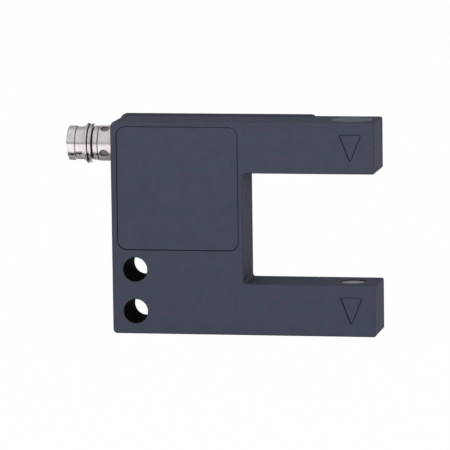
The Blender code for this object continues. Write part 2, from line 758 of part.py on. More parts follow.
def main_board_corners():
    corners = [
        (BOARD_TONGUE_LEFT, BOARD_BOTTOM),
        (BOARD_RIGHT, BOARD_BOTTOM),
        (BOARD_RIGHT, BOARD_TOP),
        (BOARD_LEFT, BOARD_TOP),
        (BOARD_LEFT, BOARD_STEP_Z),
        (BOARD_TONGUE_LEFT, BOARD_STEP_Z),
    ]
    return [(x, z, BOARD_CORNER) for x, z in corners]


def make_main_board(finishes):
    board = add_object("main_board", prism(main_board_corners(), BOARD_FRONT, BOARD_REAR), finishes["board"])
    holes = []
    for x, z in BOARD_SCREWS:
        bm = rod(BOARD_SCREW_RADIUS + SEAT_GAP, BOARD_FRONT - OVERCUT, BOARD_REAR + OVERCUT, SMALL_TURN)
        holes.append(tool_object(bm, (x, 0.0, z), ALONG_Y))
    cut(board, holes)


# Pan head screws that hold the circuit board down on the housing's posts.
def make_board_screws(finishes):
    under = BOARD_REAR + SOLDER_GAP
    crown = under + BOARD_SCREW_HEAD_HEIGHT
    end = CAVITY_FLOOR + POST_HEIGHT - BOARD_SCREW_BITE
    profile = [
        (0.0, end),
        (BOARD_SCREW_RADIUS, end),
        (BOARD_SCREW_RADIUS, under),
        (BOARD_SCREW_HEAD_RADIUS, under),
        (BOARD_SCREW_HEAD_RADIUS, crown - BOARD_SCREW_HEAD_HEIGHT / 3),
        (BOARD_SCREW_HEAD_RADIUS * 0.75, crown),
        (0.0, crown),
    ]
    for index, (x, z) in enumerate(BOARD_SCREWS, start=1):
        screw = turned(profile, SMALL_TURN)
        add_object(f"board_screw_{index}", screw, finishes["steel"], (x, 0.0, z), ALONG_Y)


# A moulded chip on gull-wing legs along its two upright sides.
def make_chip(name, centre, size, legs, finishes):
    width, height, depth = size
    foot = BOARD_REAR + SOLDER_GAP
    rise = depth / 4
    x, z = centre
    low = (x - width / 2, foot + rise, z - height / 2)
    high = (x + width / 2, foot + depth, z + height / 2)
    chip = add_object(name, block(low, high, CHIP_BEVEL), finishes["chip"])
    pitch = height / legs
    tools = []
    for side in (-1, 1):
        for index in range(legs):
            middle = z - height / 2 + pitch * (index + 0.5)
            reach = sorted((x + side * (width / 2 - CHIP_BEVEL * 2), x + side * (width / 2 + CHIP_LEG)))
            low = (reach[0], foot, middle - pitch / 4)
            high = (reach[1], foot + depth / 2, middle + pitch / 4)
            tools.append(tool_object(block(low, high)))
    fuse(chip, tools)


# A round capacitor on a square foot.
def make_capacitor(name, centre, finishes):
    foot = BOARD_REAR + SOLDER_GAP
    x, z = centre
    base = block(
        (x - CAN_RADIUS, foot, z - CAN_RADIUS),
        (x + CAN_RADIUS, foot + CAN_FOOT, z + CAN_RADIUS),
    )
    capacitor = add_object(name, base, finishes["can"])
    crimp = CAN_FOOT + CAN_HEIGHT * 0.2
    profile = [
        (0.0, foot + CAN_FOOT / 2),
        (CAN_RADIUS * 0.95, foot + CAN_FOOT / 2),
        (CAN_RADIUS * 0.95, foot + crimp),
        (CAN_RADIUS * 0.86, foot + crimp + CAN_FOOT / 2),
        (CAN_RADIUS * 0.95, foot + crimp + CAN_FOOT),
        (CAN_RADIUS * 0.95, foot + CAN_HEIGHT - CHIP_BEVEL),
        (CAN_RADIUS * 0.88, foot + CAN_HEIGHT),
        (0.0, foot + CAN_HEIGHT),
    ]
    fuse(capacitor, [tool_object(turned(profile, SMALL_TURN), (x, 0.0, z), ALONG_Y)])


def make_board_parts(finishes):
    middle = (BOARD_TONGUE_LEFT + BOARD_RIGHT) / 2
    above_step = BOARD_STEP_Z + (BOARD_TOP - BOARD_STEP_Z) / 2
    below_step = (BOARD_BOTTOM + BOARD_STEP_Z) / 2
    make_chip("controller_chip", (middle, above_step), CONTROLLER_SIZE, 6, finishes)
    make_chip("voltage_regulator", (middle, below_step), REGULATOR_SIZE, 3, finishes)
    make_chip("output_switch", (BOARD_LEFT + PART_INSET, above_step), SWITCH_SIZE, 3, finishes)
    make_capacitor("supply_capacitor", (middle, below_step + PART_PITCH), finishes)
    make_capacitor("filter_capacitor", (middle, below_step - PART_PITCH), finishes)


# A tube along a smooth curve through a few chosen points.
def make_lead(name, points, material):
    padded = [points[0], *points, points[-1]]
    route = []
    for index in range(len(points) - 1):
        p0, p1, p2, p3 = (Vector(point) for point in padded[index:index + 4])
        steps = max(1, LEAD_POINTS // (len(points) - 1))
        for step in range(steps):
            t = step / steps
            route.append(0.5 * (2 * p1 + (p2 - p0) * t + (2 * p0 - 5 * p1 + 4 * p2 - p3) * t ** 2
                                + (3 * p1 - p0 - 3 * p2 + p3) * t ** 3))
    route.append(Vector(points[-1]))
    curve = bpy.data.curves.new(name, "CURVE")
    curve.dimensions = "3D"
    curve.bevel_depth = LEAD_RADIUS
    curve.bevel_resolution = 2
    curve.use_fill_caps = True
    spline = curve.splines.new("POLY")
    spline.points.add(len(route) - 1)
    for point, place in zip(spline.points, route):
        point.co = (*place, 1.0)
    spline.use_smooth = True
    curve.materials.append(material)
    bpy.context.scene.collection.objects.link(bpy.data.objects.new(name, curve))


# Two leads run from the circuit board through each arm to its optics.
def make_optic_leads(side, upper, finishes):
    lie = BOARD_REAR + SEAT_GAP + LEAD_RADIUS
    run = SLOT_TOP + TUNNEL_MIDDLE if upper else SLOT_BOTTOM - TUNNEL_MIDDLE
    towards = -1 if upper else 1
    pad = BOARD_TOP - LEAD_PAD_INSET if upper else BOARD_BOTTOM + LEAD_PAD_INSET
    for index, (offset, colour) in enumerate(((-0.5, "red"), (0.5, "black")), start=1):
        y = offset * LEAD_SPACING
        z = pad + towards * (index - 1) * LEAD_SPACING
        points = [
            (BOARD_RIGHT - LEAD_PAD_INSET * 2, lie, z),
            (BOARD_RIGHT - LEAD_PAD_INSET, lie, z),
            (SLOT_BASE + LEAD_PAD_INSET, y, run),
            (CAVITY_END, y, run),
            (OPTIC_X - BORE_RADIUS / 2, y, run),
        ]
        make_lead(f"{side}_lead_{index}", points, finishes[colour])


def connector_place():
    return (LEFT, 0.0, CONNECTOR_Z), ALONG_MINUS_X


def collar_profile():
    inner = COLLAR_RADIUS - COLLAR_WALL
    end = SEAT_GAP + COLLAR_LENGTH
    groove = NECK_RADIUS + FIT_CLEARANCE
    return [
        (NECK_RADIUS, -NECK_LENGTH),
        (NECK_RADIUS, SEAT_GAP + RING_SECTION / 2),
        (groove + RING_SECTION + SEAL_CLEARANCE, SEAT_GAP + RING_SECTION / 2),
        (groove + RING_SECTION + SEAL_CLEARANCE, SEAT_GAP),
        (COLLAR_RADIUS, SEAT_GAP),
        (COLLAR_RADIUS, end - EDGE_CHAMFER / 2),
        (COLLAR_RADIUS - EDGE_CHAMFER / 2, end),
        (inner, end),
        (inner, SEAT_GAP + COLLAR_FLOOR),
        (NECK_RADIUS - NECK_WALL, SEAT_GAP + COLLAR_FLOOR),
        (NECK_RADIUS - NECK_WALL, -NECK_LENGTH),
    ]


# Four round crimps hold the sleeve's tail inside the collar.
def make_collar(finishes):
    location, rotation = connector_place()
    collar = add_object("connector_collar", turned(collar_profile(), FINE_TURN), finishes["nickel"],
                        location, rotation)
    crimps = []
    for index in range(CRIMP_COUNT):
        angle = CRIMP_ANGLE + 2 * math.pi * index / CRIMP_COUNT
        bm = rod(CRIMP_RADIUS, COLLAR_RADIUS - CRIMP_DEPTH, COLLAR_RADIUS + OVERCUT, SMALL_TURN)
        crimps.append(tool_object(bm, (LEFT - CRIMP_PLACE, 0.0, CONNECTOR_Z), (angle, 0.0, 0.0)))
    cut(collar, crimps)


# The sleeve's outside, from the collar out to its rim: thin grooves, two sharp ribs, a lip and a step.
def sleeve_outside():
    start = SEAT_GAP + COLLAR_LENGTH + FIT_CLEARANCE
    land = SLEEVE_RADIUS
    waist = SLEEVE_WAIST_RADIUS
    reach = SLEEVE_REACH - start
    stations = [
        (0.0, land), (0.045, land), (0.055, land - GROOVE), (0.08, land - GROOVE), (0.09, land),
        (0.13, land), (0.14, land - GROOVE), (0.19, waist - GROOVE), (0.21, RIB_RADIUS - GROOVE / 2),
        (0.245, RIB_RADIUS - GROOVE / 2), (0.265, waist - GROOVE), (0.325, waist - GROOVE),
        (0.345, RIB_RADIUS), (0.385, RIB_RADIUS), (0.405, waist - GROOVE / 2), (0.45, waist),
        (0.455, land), (0.485, land), (0.495, waist), (0.705, waist), (0.715, waist - GROOVE / 2),
        (0.735, waist - GROOVE / 2), (0.745, land), (0.965, land), (1.0, land - RIM_CHAMFER),
    ]
    return [(radius, start + share * reach) for share, radius in stations]


def make_sleeve(finishes):
    location, rotation = connector_place()
    start = SEAT_GAP + COLLAR_LENGTH + FIT_CLEARANCE
    tail = COLLAR_RADIUS - COLLAR_WALL - FIT_CLEARANCE
    tail_end = SEAT_GAP + COLLAR_FLOOR + SEAT_GAP
    floor = start + SLEEVE_FLOOR
    profile = [(tail, tail_end), (tail, start)]
    profile += sleeve_outside()
    profile += [
        (SLEEVE_BORE_RADIUS, SLEEVE_REACH),
        (SLEEVE_BORE_RADIUS, floor),
        (tail - SLEEVE_TAIL_WALL, floor),
        (tail - SLEEVE_TAIL_WALL, tail_end),
    ]
    add_object("connector_sleeve", turned(profile, FINE_TURN), finishes["nickel"], location, rotation)


def pin_places():
    places = []
    for index in range(PIN_COUNT):
        angle = math.pi / 2 + 2 * math.pi * index / PIN_COUNT
        places.append((PIN_CIRCLE_RADIUS * math.cos(angle), PIN_CIRCLE_RADIUS * math.sin(angle)))
    return places


def make_carrier(finishes):
    location, rotation = connector_place()
    start = SEAT_GAP + COLLAR_LENGTH + FIT_CLEARANCE
    seat = start + SLEEVE_FLOOR + FIT_CLEARANCE
    tail = COLLAR_RADIUS - COLLAR_WALL - FIT_CLEARANCE - SLEEVE_TAIL_WALL - FIT_CLEARANCE
    neck = NECK_RADIUS - NECK_WALL - FIT_CLEARANCE
    profile = [
        (0.0, -NECK_LENGTH),
        (neck, -NECK_LENGTH),
        (neck, SEAT_GAP + COLLAR_FLOOR + FIT_CLEARANCE),
        (tail, SEAT_GAP + COLLAR_FLOOR + FIT_CLEARANCE),
        (tail, seat),
        (SLEEVE_BORE_RADIUS - FIT_CLEARANCE, seat),
        (SLEEVE_BORE_RADIUS - FIT_CLEARANCE, seat + CARRIER_FLANGE_HEIGHT),
        (0.0, seat + CARRIER_FLANGE_HEIGHT),
    ]
    carrier = add_object("contact_carrier", turned(profile, FINE_TURN), finishes["insulator"],
                         location, rotation)
    holes = []
    for y, z in pin_places():
        bm = rod(PIN_RADIUS + SEAL_CLEARANCE, -NECK_LENGTH - OVERCUT, SLEEVE_REACH, 16)
        holes.append(tool_object(bm, (LEFT, y, CONNECTOR_Z + z), rotation))
    cut(carrier, holes)


def make_pins(finishes):
    tip = SLEEVE_REACH - PIN_SET_BACK
    tail = -NECK_LENGTH - PIN_TAIL
    profile = [
        (0.0, tail),
        (PIN_RADIUS, tail),
        (PIN_RADIUS, tip - PIN_RADIUS),
        (PIN_RADIUS * 0.7, tip - PIN_RADIUS * 0.3),
        (0.0, tip),
    ]
    for index, (y, z) in enumerate(pin_places(), start=1):
        location = (LEFT, y, CONNECTOR_Z + z)
        add_object(f"contact_pin_{index}", turned(profile, 16), finishes["gold"], location, ALONG_MINUS_X)


# A slotted ring nut on the collar's neck, inside the housing wall.
def make_nut(finishes):
    location, rotation = connector_place()
    near = -WALL - SEAT_GAP
    far = near - NUT_THICKNESS
    inner = NECK_RADIUS + FIT_CLEARANCE
    profile = [(inner, near), (NUT_RADIUS, near), (NUT_RADIUS, far), (inner, far)]
    nut = add_object("connector_nut", turned(profile, FINE_TURN), finishes["nickel"], location, rotation)
    half = NUT_SLOT_WIDTH / 2
    depth = NUT_RADIUS - NUT_SLOT_DEPTH
    low = (-half, depth, far - OVERCUT)
    high = (half, NUT_RADIUS + OVERCUT, near + OVERCUT)
    slots = []
    for index in range(4):
        bm = block(low, high)
        bm.transform(Matrix.Rotation(math.pi / 2 * index, 4, "Z"))
        slots.append(tool_object(bm, location, rotation))
    cut(nut, slots)


def make_connector_seal(finishes):
    location, rotation = connector_place()
    inner = NECK_RADIUS + FIT_CLEARANCE
    near = SEAL_CLEARANCE
    far = SEAT_GAP + RING_SECTION / 2 - SEAL_CLEARANCE
    profile = [(inner, near), (inner + RING_SECTION, near), (inner + RING_SECTION, far), (inner, far)]
    add_object("connector_seal", turned(profile, FINE_TURN), finishes["rubber"], location, rotation)


# A lead from each contact pin's tail to its pad on the circuit board. The lower the pin, the nearer its pad.
def make_connector_leads(finishes):
    lie = BOARD_REAR + SEAT_GAP + LEAD_RADIUS
    start = LEFT + NECK_LENGTH + PIN_TAIL + SEAT_GAP
    places = pin_places()
    pads = sorted(range(PIN_COUNT), key=lambda pin: (round(places[pin][1], 6), places[pin][0]))
    colours = ("brown", "blue", "black")
    for index, (y, z) in enumerate(places):
        pad_x = BOARD_LEFT + LEAD_PAD_INSET + pads.index(index) * LEAD_SPACING
        points = [
            (start, y, CONNECTOR_Z + z),
            (start + LEAD_RADIUS * 2, y, CONNECTOR_Z + z),
            (pad_x, lie + LEAD_RADIUS, BOARD_TOP - LEAD_PAD_INSET),
            (pad_x, lie, BOARD_TOP - LEAD_PAD_INSET * 2),
        ]
        make_lead(f"connector_lead_{index + 1}", points, finishes[colours[index]])


def build():
    clear_scene()
    finishes = make_finishes()
    make_housing(finishes)
    make_cover(finishes)
    make_cover_seal(finishes)
    make_cover_screws(finishes)
    make_optics("sender", True, finishes)
    make_optics("receiver", False, finishes)
    make_main_board(finishes)
    make_board_screws(finishes)
    make_board_parts(finishes)
    make_optic_leads("sender", True, finishes)
    make_optic_leads("receiver", False, finishes)
    make_collar(finishes)
    make_sleeve(finishes)
    make_carrier(finishes)
    make_pins(finishes)
    make_nut(finishes)
    make_connector_seal(finishes)
    make_connector_leads(finishes)


build()
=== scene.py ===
# Fork sensor: finishes and fine surfaces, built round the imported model
# X runs from the connector to the arm tips, Y from the front to the rear, Z up

import json
import math

import bmesh
import bpy
from mathutils import Matrix, Vector


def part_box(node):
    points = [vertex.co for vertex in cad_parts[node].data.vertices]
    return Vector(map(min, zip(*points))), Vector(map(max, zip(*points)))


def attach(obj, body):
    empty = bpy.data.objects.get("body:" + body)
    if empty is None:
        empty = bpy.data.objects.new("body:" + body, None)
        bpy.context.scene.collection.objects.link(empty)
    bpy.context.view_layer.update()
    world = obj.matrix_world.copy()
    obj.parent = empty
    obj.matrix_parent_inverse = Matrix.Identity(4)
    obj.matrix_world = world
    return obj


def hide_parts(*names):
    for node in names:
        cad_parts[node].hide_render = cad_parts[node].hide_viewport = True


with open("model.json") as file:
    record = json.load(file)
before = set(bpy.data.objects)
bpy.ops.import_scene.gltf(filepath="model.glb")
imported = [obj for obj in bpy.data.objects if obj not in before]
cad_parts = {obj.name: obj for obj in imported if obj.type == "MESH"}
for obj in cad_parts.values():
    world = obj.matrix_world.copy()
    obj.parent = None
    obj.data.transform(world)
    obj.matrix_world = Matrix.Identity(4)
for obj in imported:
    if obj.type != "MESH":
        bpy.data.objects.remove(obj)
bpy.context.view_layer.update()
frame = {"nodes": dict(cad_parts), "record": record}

mm = 0.001
body = "root"
sharpAngle = math.radians(32.0)

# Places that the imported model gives
housingLow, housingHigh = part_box("housing")
coverLow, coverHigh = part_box("rear_cover")
collarLow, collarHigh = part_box("connector_collar")
sleeveLow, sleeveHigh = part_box("connector_sleeve")
upperPlugLow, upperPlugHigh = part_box("sender_plug")
upperLensLow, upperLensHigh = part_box("sender_lens")
lowerLensLow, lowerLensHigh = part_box("receiver_lens")
rearMount = next(m for m in frame["record"]["mounts"] if m["name"] == "rear_face")
left = housingLow.x
holeRadius = 2.75 * mm
holePitch = 9.5 * mm
holeX = rearMount["pos_m"][0]
holeMiddle = rearMount["pos_m"][2]
holeHeights = [holeMiddle - holePitch / 2, holeMiddle + holePitch / 2]


# Finishes

def operator(operation, swapped=False):
    def apply(self, other):
        return self.maths(operation, other, self) if swapped else self.maths(operation, self, other)
    return apply


# One output socket of a node. Sums and products of wires become Math nodes.
class Wire:
    def __init__(self, nodes, socket):
        self.nodes = nodes
        self.socket = socket

    def maths(self, operation, first, second):
        return self.nodes.node("ShaderNodeMath", {"operation": operation}, {0: first, 1: second})

    __add__ = operator("ADD")
    __radd__ = operator("ADD", swapped=True)
    __sub__ = operator("SUBTRACT")
    __rsub__ = operator("SUBTRACT", swapped=True)
    __mul__ = operator("MULTIPLY")
    __rmul__ = operator("MULTIPLY", swapped=True)
    __truediv__ = operator("DIVIDE")
    __pow__ = operator("POWER")

    def clamped(self):
        return self.maths("MINIMUM", self.maths("MAXIMUM", self, 0.0), 1.0)

    def smoothstep(self, low, high):
        return self.nodes.node("ShaderNodeMapRange", {"interpolation_type": "SMOOTHSTEP"},
                               {"Value": self, "From Min": low, "From Max": high})


# The nodes of one finish, or of the world
class Nodes:
    def __init__(self, tree):
        self.tree = tree
        tree.nodes.clear()

    # Makes a node: its settings first, then its sockets, as values or as wires
    def make(self, kind, settings=None, sockets=None):
        made = self.tree.nodes.new(kind)
        for key, value in (settings or {}).items():
            setattr(made, key, value)
        for key, value in (sockets or {}).items():
            self.connect(made.inputs[key], value)
        return made

    # Makes a node and gives one of its outputs
    def node(self, kind, settings=None, sockets=None, out=None):
        made = self.make(kind, settings, sockets)
        if out is None:
            return Wire(self, next(socket for socket in made.outputs if socket.enabled))
        return Wire(self, made.outputs[out])

    def connect(self, socket, value):
        if isinstance(value, Wire):
            self.tree.links.new(value.socket, socket)
        else:
            socket.default_value = value

    # 1 for the named kinds of ray and 0 for every other
    def seenBy(self, *rays):
        path = self.make("ShaderNodeLightPath")
        total = 0.0
        for ray in rays:
            total = Wire(self, path.outputs[f"Is {ray} Ray"]) + total
        return total.clamped()

    def stretched(self, where, scale):
        return self.node("ShaderNodeVectorMath", {"operation": "MULTIPLY"}, {0: where, 1: scale})

    def noise(self, where, scale, detail=2.0, roughness=0.5):
        return self.node("ShaderNodeTexNoise", None, {
            "Vector": where, "Scale": scale, "Detail": detail, "Roughness": roughness})

    # Sockets 6 and 7 and output 2 of a Mix node are the ones for colours
    def mixColour(self, factor, first, second):
        return self.node("ShaderNodeMix", {"data_type": "RGBA"}, {0: factor, 6: first, 7: second}, 2)

    # From one colour to another where a cloud lies between two levels
    def blend(self, cloud, levels, first, second):
        return self.mixColour(cloud.smoothstep(*levels), first, second)

    def split(self, vector):
        made = self.make("ShaderNodeSeparateXYZ", None, {0: vector})
        return [Wire(self, socket) for socket in made.outputs]

    def normal(self):
        return self.split(self.node("ShaderNodeNewGeometry", out="Normal"))

    # 1 in the open, less where the same object stands within reach
    def openness(self, reach):
        return self.node("ShaderNodeAmbientOcclusion", {"samples": 6, "only_local": True},
                         {"Distance": reach}, "AO")

    def bump(self, height, strength, distance):
        return self.node("ShaderNodeBump", None, {
            "Strength": strength, "Distance": distance, "Height": height})


class Finish(Nodes):
    def __init__(self, name, fixed):
        self.material = bpy.data.materials.new(name)
        self.material.use_nodes = True
        super().__init__(self.material.node_tree)
        self.shader = self.make("ShaderNodeBsdfPrincipled", None, fixed)
        self.surface = Wire(self, self.shader.outputs[0])
        self.output = self.make("ShaderNodeOutputMaterial", None, {"Surface": self.surface})

    def feed(self, name, wire):
        self.connect(self.shader.inputs[name], wire)

    # Roughness between two limits, by a texture
    def feedRoughness(self, limits, share):
        low, high = limits
        self.feed("Roughness", low + (high - low) * share)

    # The place on the object, in millimetres
    def place(self):
        where = self.node("ShaderNodeTexCoord", out="Object")
        return self.node("ShaderNodeVectorMath", {"operation": "SCALE"}, {0: where, "Scale": 1 / mm})


def rgb(red, green, blue):
    return (red, green, blue, 1.0)


# The distance from an axis, from the two offsets
def distanceFrom(first, second):
    return (first * first + second * second) ** 0.5


# Lengths in a look are in millimetres, unless they are times mm
coatLook = {
    "base": rgb(0.0580, 0.0650, 0.0950),
    "bluer": rgb(0.0500, 0.0665, 0.0960),
    "warmer": rgb(0.0680, 0.0635, 0.0960),
    # Pale tone for rubbed edges, and for the painted highlight on the holes' lit rims
    "wearAndHighlight": rgb(0.0950, 0.1040, 0.1330),
    # Painted shade inside the mounting holes
    "bore": rgb(0.0022, 0.0026, 0.0036),
    # Painted shade: the tone for edge lines, creases, the slot's corners and the rear rim
    "paintedShade": rgb(0.0060, 0.0070, 0.0110),
    "baseShare": 0.35,
    "patchScale": 0.33,
    "tintScale": 0.759,
    "grainScale": 3.4,
    "fineScale": 10.54,
    "plainShade": 0.89,
    "patchShade": 0.22,
    "grainShade": 0.44,
    "fineShade": 0.36,
    "grainHeight": 0.012 * mm,
    "grainStrength": 0.5,
    "grainShare": 0.7,
    "roughness": (0.62, 0.80),
    "wear": 0.15,
    "edgeLine": 0.28,
    "darkEdge": 0.90,
    "rearRim": 0.60,
    "rearRimWidth": (0.5, 1.4),
    "holeRim": 0.55,
    "holeRimWidth": (0.20, 0.32),
    "creaseReach": 0.45 * mm,
    "creaseShade": 0.65,
    "cornerReach": 25.0 * mm,
    "corner": 0.80,
    "cornerHeights": (11.0, 38.0),
    "cornerFade": 0.6,
}


# Fine matt coat: grained, with painted shade at its edges, in creases, in the slot's corners and in the
# holes, and a painted highlight round the holes
def makeCoat():
    look = coatLook
    coat = Finish("blueGreyCoat", {"IOR": 1.45, "Specular IOR Level": 0.15})
    where = coat.place()
    x, y, z = coat.split(where)
    normalX, normalY, normalZ = coat.normal()
    patches = coat.noise(where, look["patchScale"], 3.0, 0.6)
    tint = coat.noise(where, look["tintScale"], 2.0, 0.5)
    grain = coat.noise(where, look["grainScale"], 3.0, 0.62)
    fine = coat.noise(where, look["fineScale"], 1.0, 0.5)
    colour = coat.blend(tint, (0.35, 0.65), look["bluer"], look["warmer"])
    colour = coat.mixColour(look["baseShare"], colour, look["base"])
    shade = (look["plainShade"] + look["patchShade"] * patches + look["grainShade"] * (grain - 0.5)
             + look["fineShade"] * (fine - 0.5))
    colour = coat.node("ShaderNodeVectorMath", {"operation": "SCALE"}, {0: colour, "Scale": shade})

    # Edges: rubbed here and there, with a line of painted shade that is strongest on the faces turned from
    # the light: the left, below and at the rear
    facing = normalY * normalY
    edge = (4.0 * facing * (1.0 - facing)).smoothstep(0.25, 0.9)
    rubbed = edge * (patches * 1.4 + grain - 0.7).clamped() * look["wear"]
    colour = coat.mixColour(rubbed, colour, look["wearAndHighlight"])
    shaded = (-0.75 * normalX - 0.65 * normalZ).smoothstep(0.05, 0.5)
    away = (shaded + normalY.smoothstep(0.1, 0.5)).clamped()
    line = edge * (look["edgeLine"] + (look["darkEdge"] - look["edgeLine"]) * away)
    colour = coat.mixColour(line, colour, look["paintedShade"])

    # Painted shade in creases, in the slot's corners and along the rear rim
    openness = coat.openness(look["creaseReach"])
    creaseShade = (1.0 - openness).smoothstep(0.12, 0.42) * (look["creaseShade"] + (1.0 - look["creaseShade"]) * shaded)
    colour = coat.mixColour(creaseShade, colour, look["paintedShade"])
    # Painted shade in the slot's corners, less of it higher up
    fade = 1.0 - look["cornerFade"] * z.smoothstep(*look["cornerHeights"])
    dim = (1.0 - coat.openness(look["cornerReach"])).smoothstep(0.15, 0.80)
    colour = coat.mixColour(dim * look["corner"] * fade, colour, look["paintedShade"])
    # Painted shade along the rear of the top, side and bottom faces
    narrow, wide = look["rearRimWidth"]
    rear = housingHigh.y / mm
    rim = y.smoothstep(rear - wide, rear - narrow) * (1.0 - facing)
    colour = coat.mixColour(rim * look["rearRim"], colour, look["paintedShade"])

    # The mounting holes: a painted highlight on the rim's lit side, round a bore darkened with painted
    # shade
    bored = 0.0
    narrow, wide = look["holeRimWidth"]
    radius = holeRadius / mm
    for holeZ in holeHeights:
        across = distanceFrom(x - holeX / mm, z - holeZ / mm)
        ring = 1.0 - across.smoothstep(radius + narrow, radius + wide)
        colour = coat.mixColour(ring * (1.0 - away) * facing * look["holeRim"], colour, look["wearAndHighlight"])
        bored = (1.0 - across.smoothstep(radius + 0.01, radius + 0.06)) + bored
    colour = coat.mixColour(bored, colour, look["bore"])

    coat.feed("Base Color", colour)
    low, high = look["roughness"]
    coat.feed("Roughness", (low + (high - low) * grain + 0.04 * (patches - 0.5) + bored).clamped())
    height = grain * look["grainShare"] + fine * (1.0 - look["grainShare"])
    coat.feed("Normal", coat.bump(height, look["grainStrength"], look["grainHeight"]))
    return coat.material


nickelLook = {
    "bright": rgb(0.955, 0.915, 0.925),
    "warm": rgb(0.870, 0.720, 0.690),
    "dull": rgb(0.600, 0.560, 0.560),
    "warmShare": 0.75,
    "dullShare": 0.35,
    "turningScale": 14.0,
    "turningHeight": 0.0012 * mm,
    "stainScale": 0.55,
    "speckScale": 3.85,
}
sleeveLook = {
    # Painted shade tones for the deep grooves and the ribs' flanks
    "deep": rgb(0.050, 0.020, 0.020),
    "black": rgb(0.012, 0.010, 0.010),
    "deepRadius": 3.68,
    "flanks": ((4.86, 0.11, "black"), (5.97, 0.13, "deep")),
    "crest": (4.25, 4.42),
    "underside": (2.4, 3.3),
    "undersideWidth": 3.0,
    "roughness": (0.13, 0.30),
}
collarLook = {
    "blush": rgb(0.960, 0.740, 0.660),
    "blushShare": 0.6,
    "blushPlace": (-2.2, -0.4),
    "crimp": rgb(0.340, 0.295, 0.330),
    # Painted shade on the crimps' walls
    "crimpEdge": rgb(0.090, 0.070, 0.080),
    "crimpInset": 0.03,
    "crimpWall": 0.20,
    "crimpRoughness": 0.35,
    "roughness": (0.20, 0.38),
}


# Bright plate over turned brass, with fine rings from the tool and faint warm stains
class Nickel(Finish):
    def __init__(self, name):
        super().__init__(name, {"Metallic": 1.0})
        look = nickelLook
        where = self.place()
        self.x, y, self.z = self.split(where)
        self.axisZ = (collarLow.z + collarHigh.z) / 2 / mm
        self.across = distanceFrom(y, self.z - self.axisZ)
        self.turned = self.noise(self.stretched(where, (look["turningScale"], 0.15, 0.15)), 1.0, 3.0, 0.7)
        self.stain = self.noise(where, look["stainScale"], 3.0, 0.6)
        speck = self.noise(where, look["speckScale"], 2.0, 0.6)
        stained = self.stain.smoothstep(0.42, 0.70) * look["warmShare"]
        colour = self.mixColour(stained, look["bright"], look["warm"])
        self.colour = self.mixColour(speck.smoothstep(0.52, 0.75) * look["dullShare"], colour, look["dull"])

    def tone(self, share, colour):
        self.colour = self.mixColour(share, self.colour, colour)

    def finished(self, roughness):
        self.feed("Base Color", self.colour)
        self.feedRoughness(roughness, self.turned * 0.6 + self.stain * 0.4)
        self.feed("Normal", self.bump(self.turned, 0.6, nickelLook["turningHeight"]))
        return self.material


# Painted shade in the deep grooves and on the right flanks of the two ribs, more widely so on the underside
def makeSleeveNickel():
    look = sleeveLook
    nickel = Nickel("sleeveNickel")
    across = nickel.across
    nickel.tone(1.0 - across.smoothstep(look["deepRadius"] - 0.06, look["deepRadius"] + 0.02), look["deep"])
    under = (nickel.axisZ - nickel.z).smoothstep(*look["underside"])
    bare = across.smoothstep(*look["crest"]) * (1.0 - under)
    for offset, width, tone in look["flanks"]:
        away = (nickel.x - (left / mm - offset)) ** 2.0
        away = away / (width * width * (1.0 + look["undersideWidth"] * under))
        nickel.tone((1.0 - away.smoothstep(0.5, 1.0)) * (1.0 - bare), look[tone])
    return nickel.finished(look["roughness"])


# Warmer towards the housing, with dull grey crimps whose wall is darkened with painted shade
def makeCollarNickel():
    look = collarLook
    nickel = Nickel("collarNickel")
    far, near = look["blushPlace"]
    crimpRadius = (collarHigh.z - collarLow.z) / 2 / mm - look["crimpInset"]
    wallRadius = crimpRadius - look["crimpWall"]
    nickel.tone(nickel.x.smoothstep(left / mm + far, left / mm + near) * look["blushShare"], look["blush"])
    pressed = 1.0 - nickel.across.smoothstep(crimpRadius - 0.02, crimpRadius)
    nickel.tone(pressed, look["crimp"])
    # Painted shade on the crimps' walls
    nickel.tone(pressed * nickel.across.smoothstep(wallRadius, wallRadius + 0.05), look["crimpEdge"])
    return nickel.finished([limit + look["crimpRoughness"] * pressed for limit in look["roughness"]])


# Plain finishes: a cloud mixes two tones, and a grain gives the roughness and the bump.
# A cloud or grain is its marks for each mm along X, Y and Z, its detail and its own roughness.
plainLooks = {
    "darkSteel": {
        "shader": {"Metallic": 1.0},
        "tones": (rgb(0.22, 0.22, 0.23), rgb(0.10, 0.10, 0.11)),
        "levels": (0.4, 0.7),
        "cloud": ((1.6, 1.6, 1.6), 3.0, 0.6),
        "grain": ((9.0, 9.0, 1.2), 2.0, 0.6),
        "roughness": (0.28, 0.46),
        "bump": (0.5, 0.002 * mm),
    },
    "goldFlash": {
        "shader": {"Metallic": 1.0},
        "tones": (rgb(0.83, 0.60, 0.26), rgb(0.88, 0.72, 0.42)),
        "levels": (0.35, 0.7),
        "cloud": ((1.1, 1.1, 1.1), 2.0, 0.5),
        "grain": ((12.0, 0.5, 0.5), 2.0, 0.6),
        "roughness": (0.16, 0.32),
        "bump": (0.5, 0.001 * mm),
    },
    "capacitorCan": {
        "shader": {"Metallic": 1.0},
        "tones": (rgb(0.60, 0.61, 0.63), rgb(0.46, 0.47, 0.49)),
        "levels": (0.35, 0.75),
        "cloud": ((8.0, 1.0, 8.0), 2.0, 0.6),
        "grain": ((8.0, 1.0, 8.0), 2.0, 0.6),
        "roughness": (0.24, 0.38),
        "bump": (0.3, 0.002 * mm),
    },
    "clearEpoxy": {
        "shader": {"IOR": 1.54, "Coat Weight": 0.4},
        "tones": (rgb(0.28, 0.34, 0.40), rgb(0.40, 0.45, 0.50)),
        "levels": (0.35, 0.7),
        "cloud": ((1.2, 1.2, 1.2), 2.0, 0.5),
        "grain": ((1.2, 1.2, 1.2), 2.0, 0.5),
        "roughness": (0.06, 0.16),
    },
}

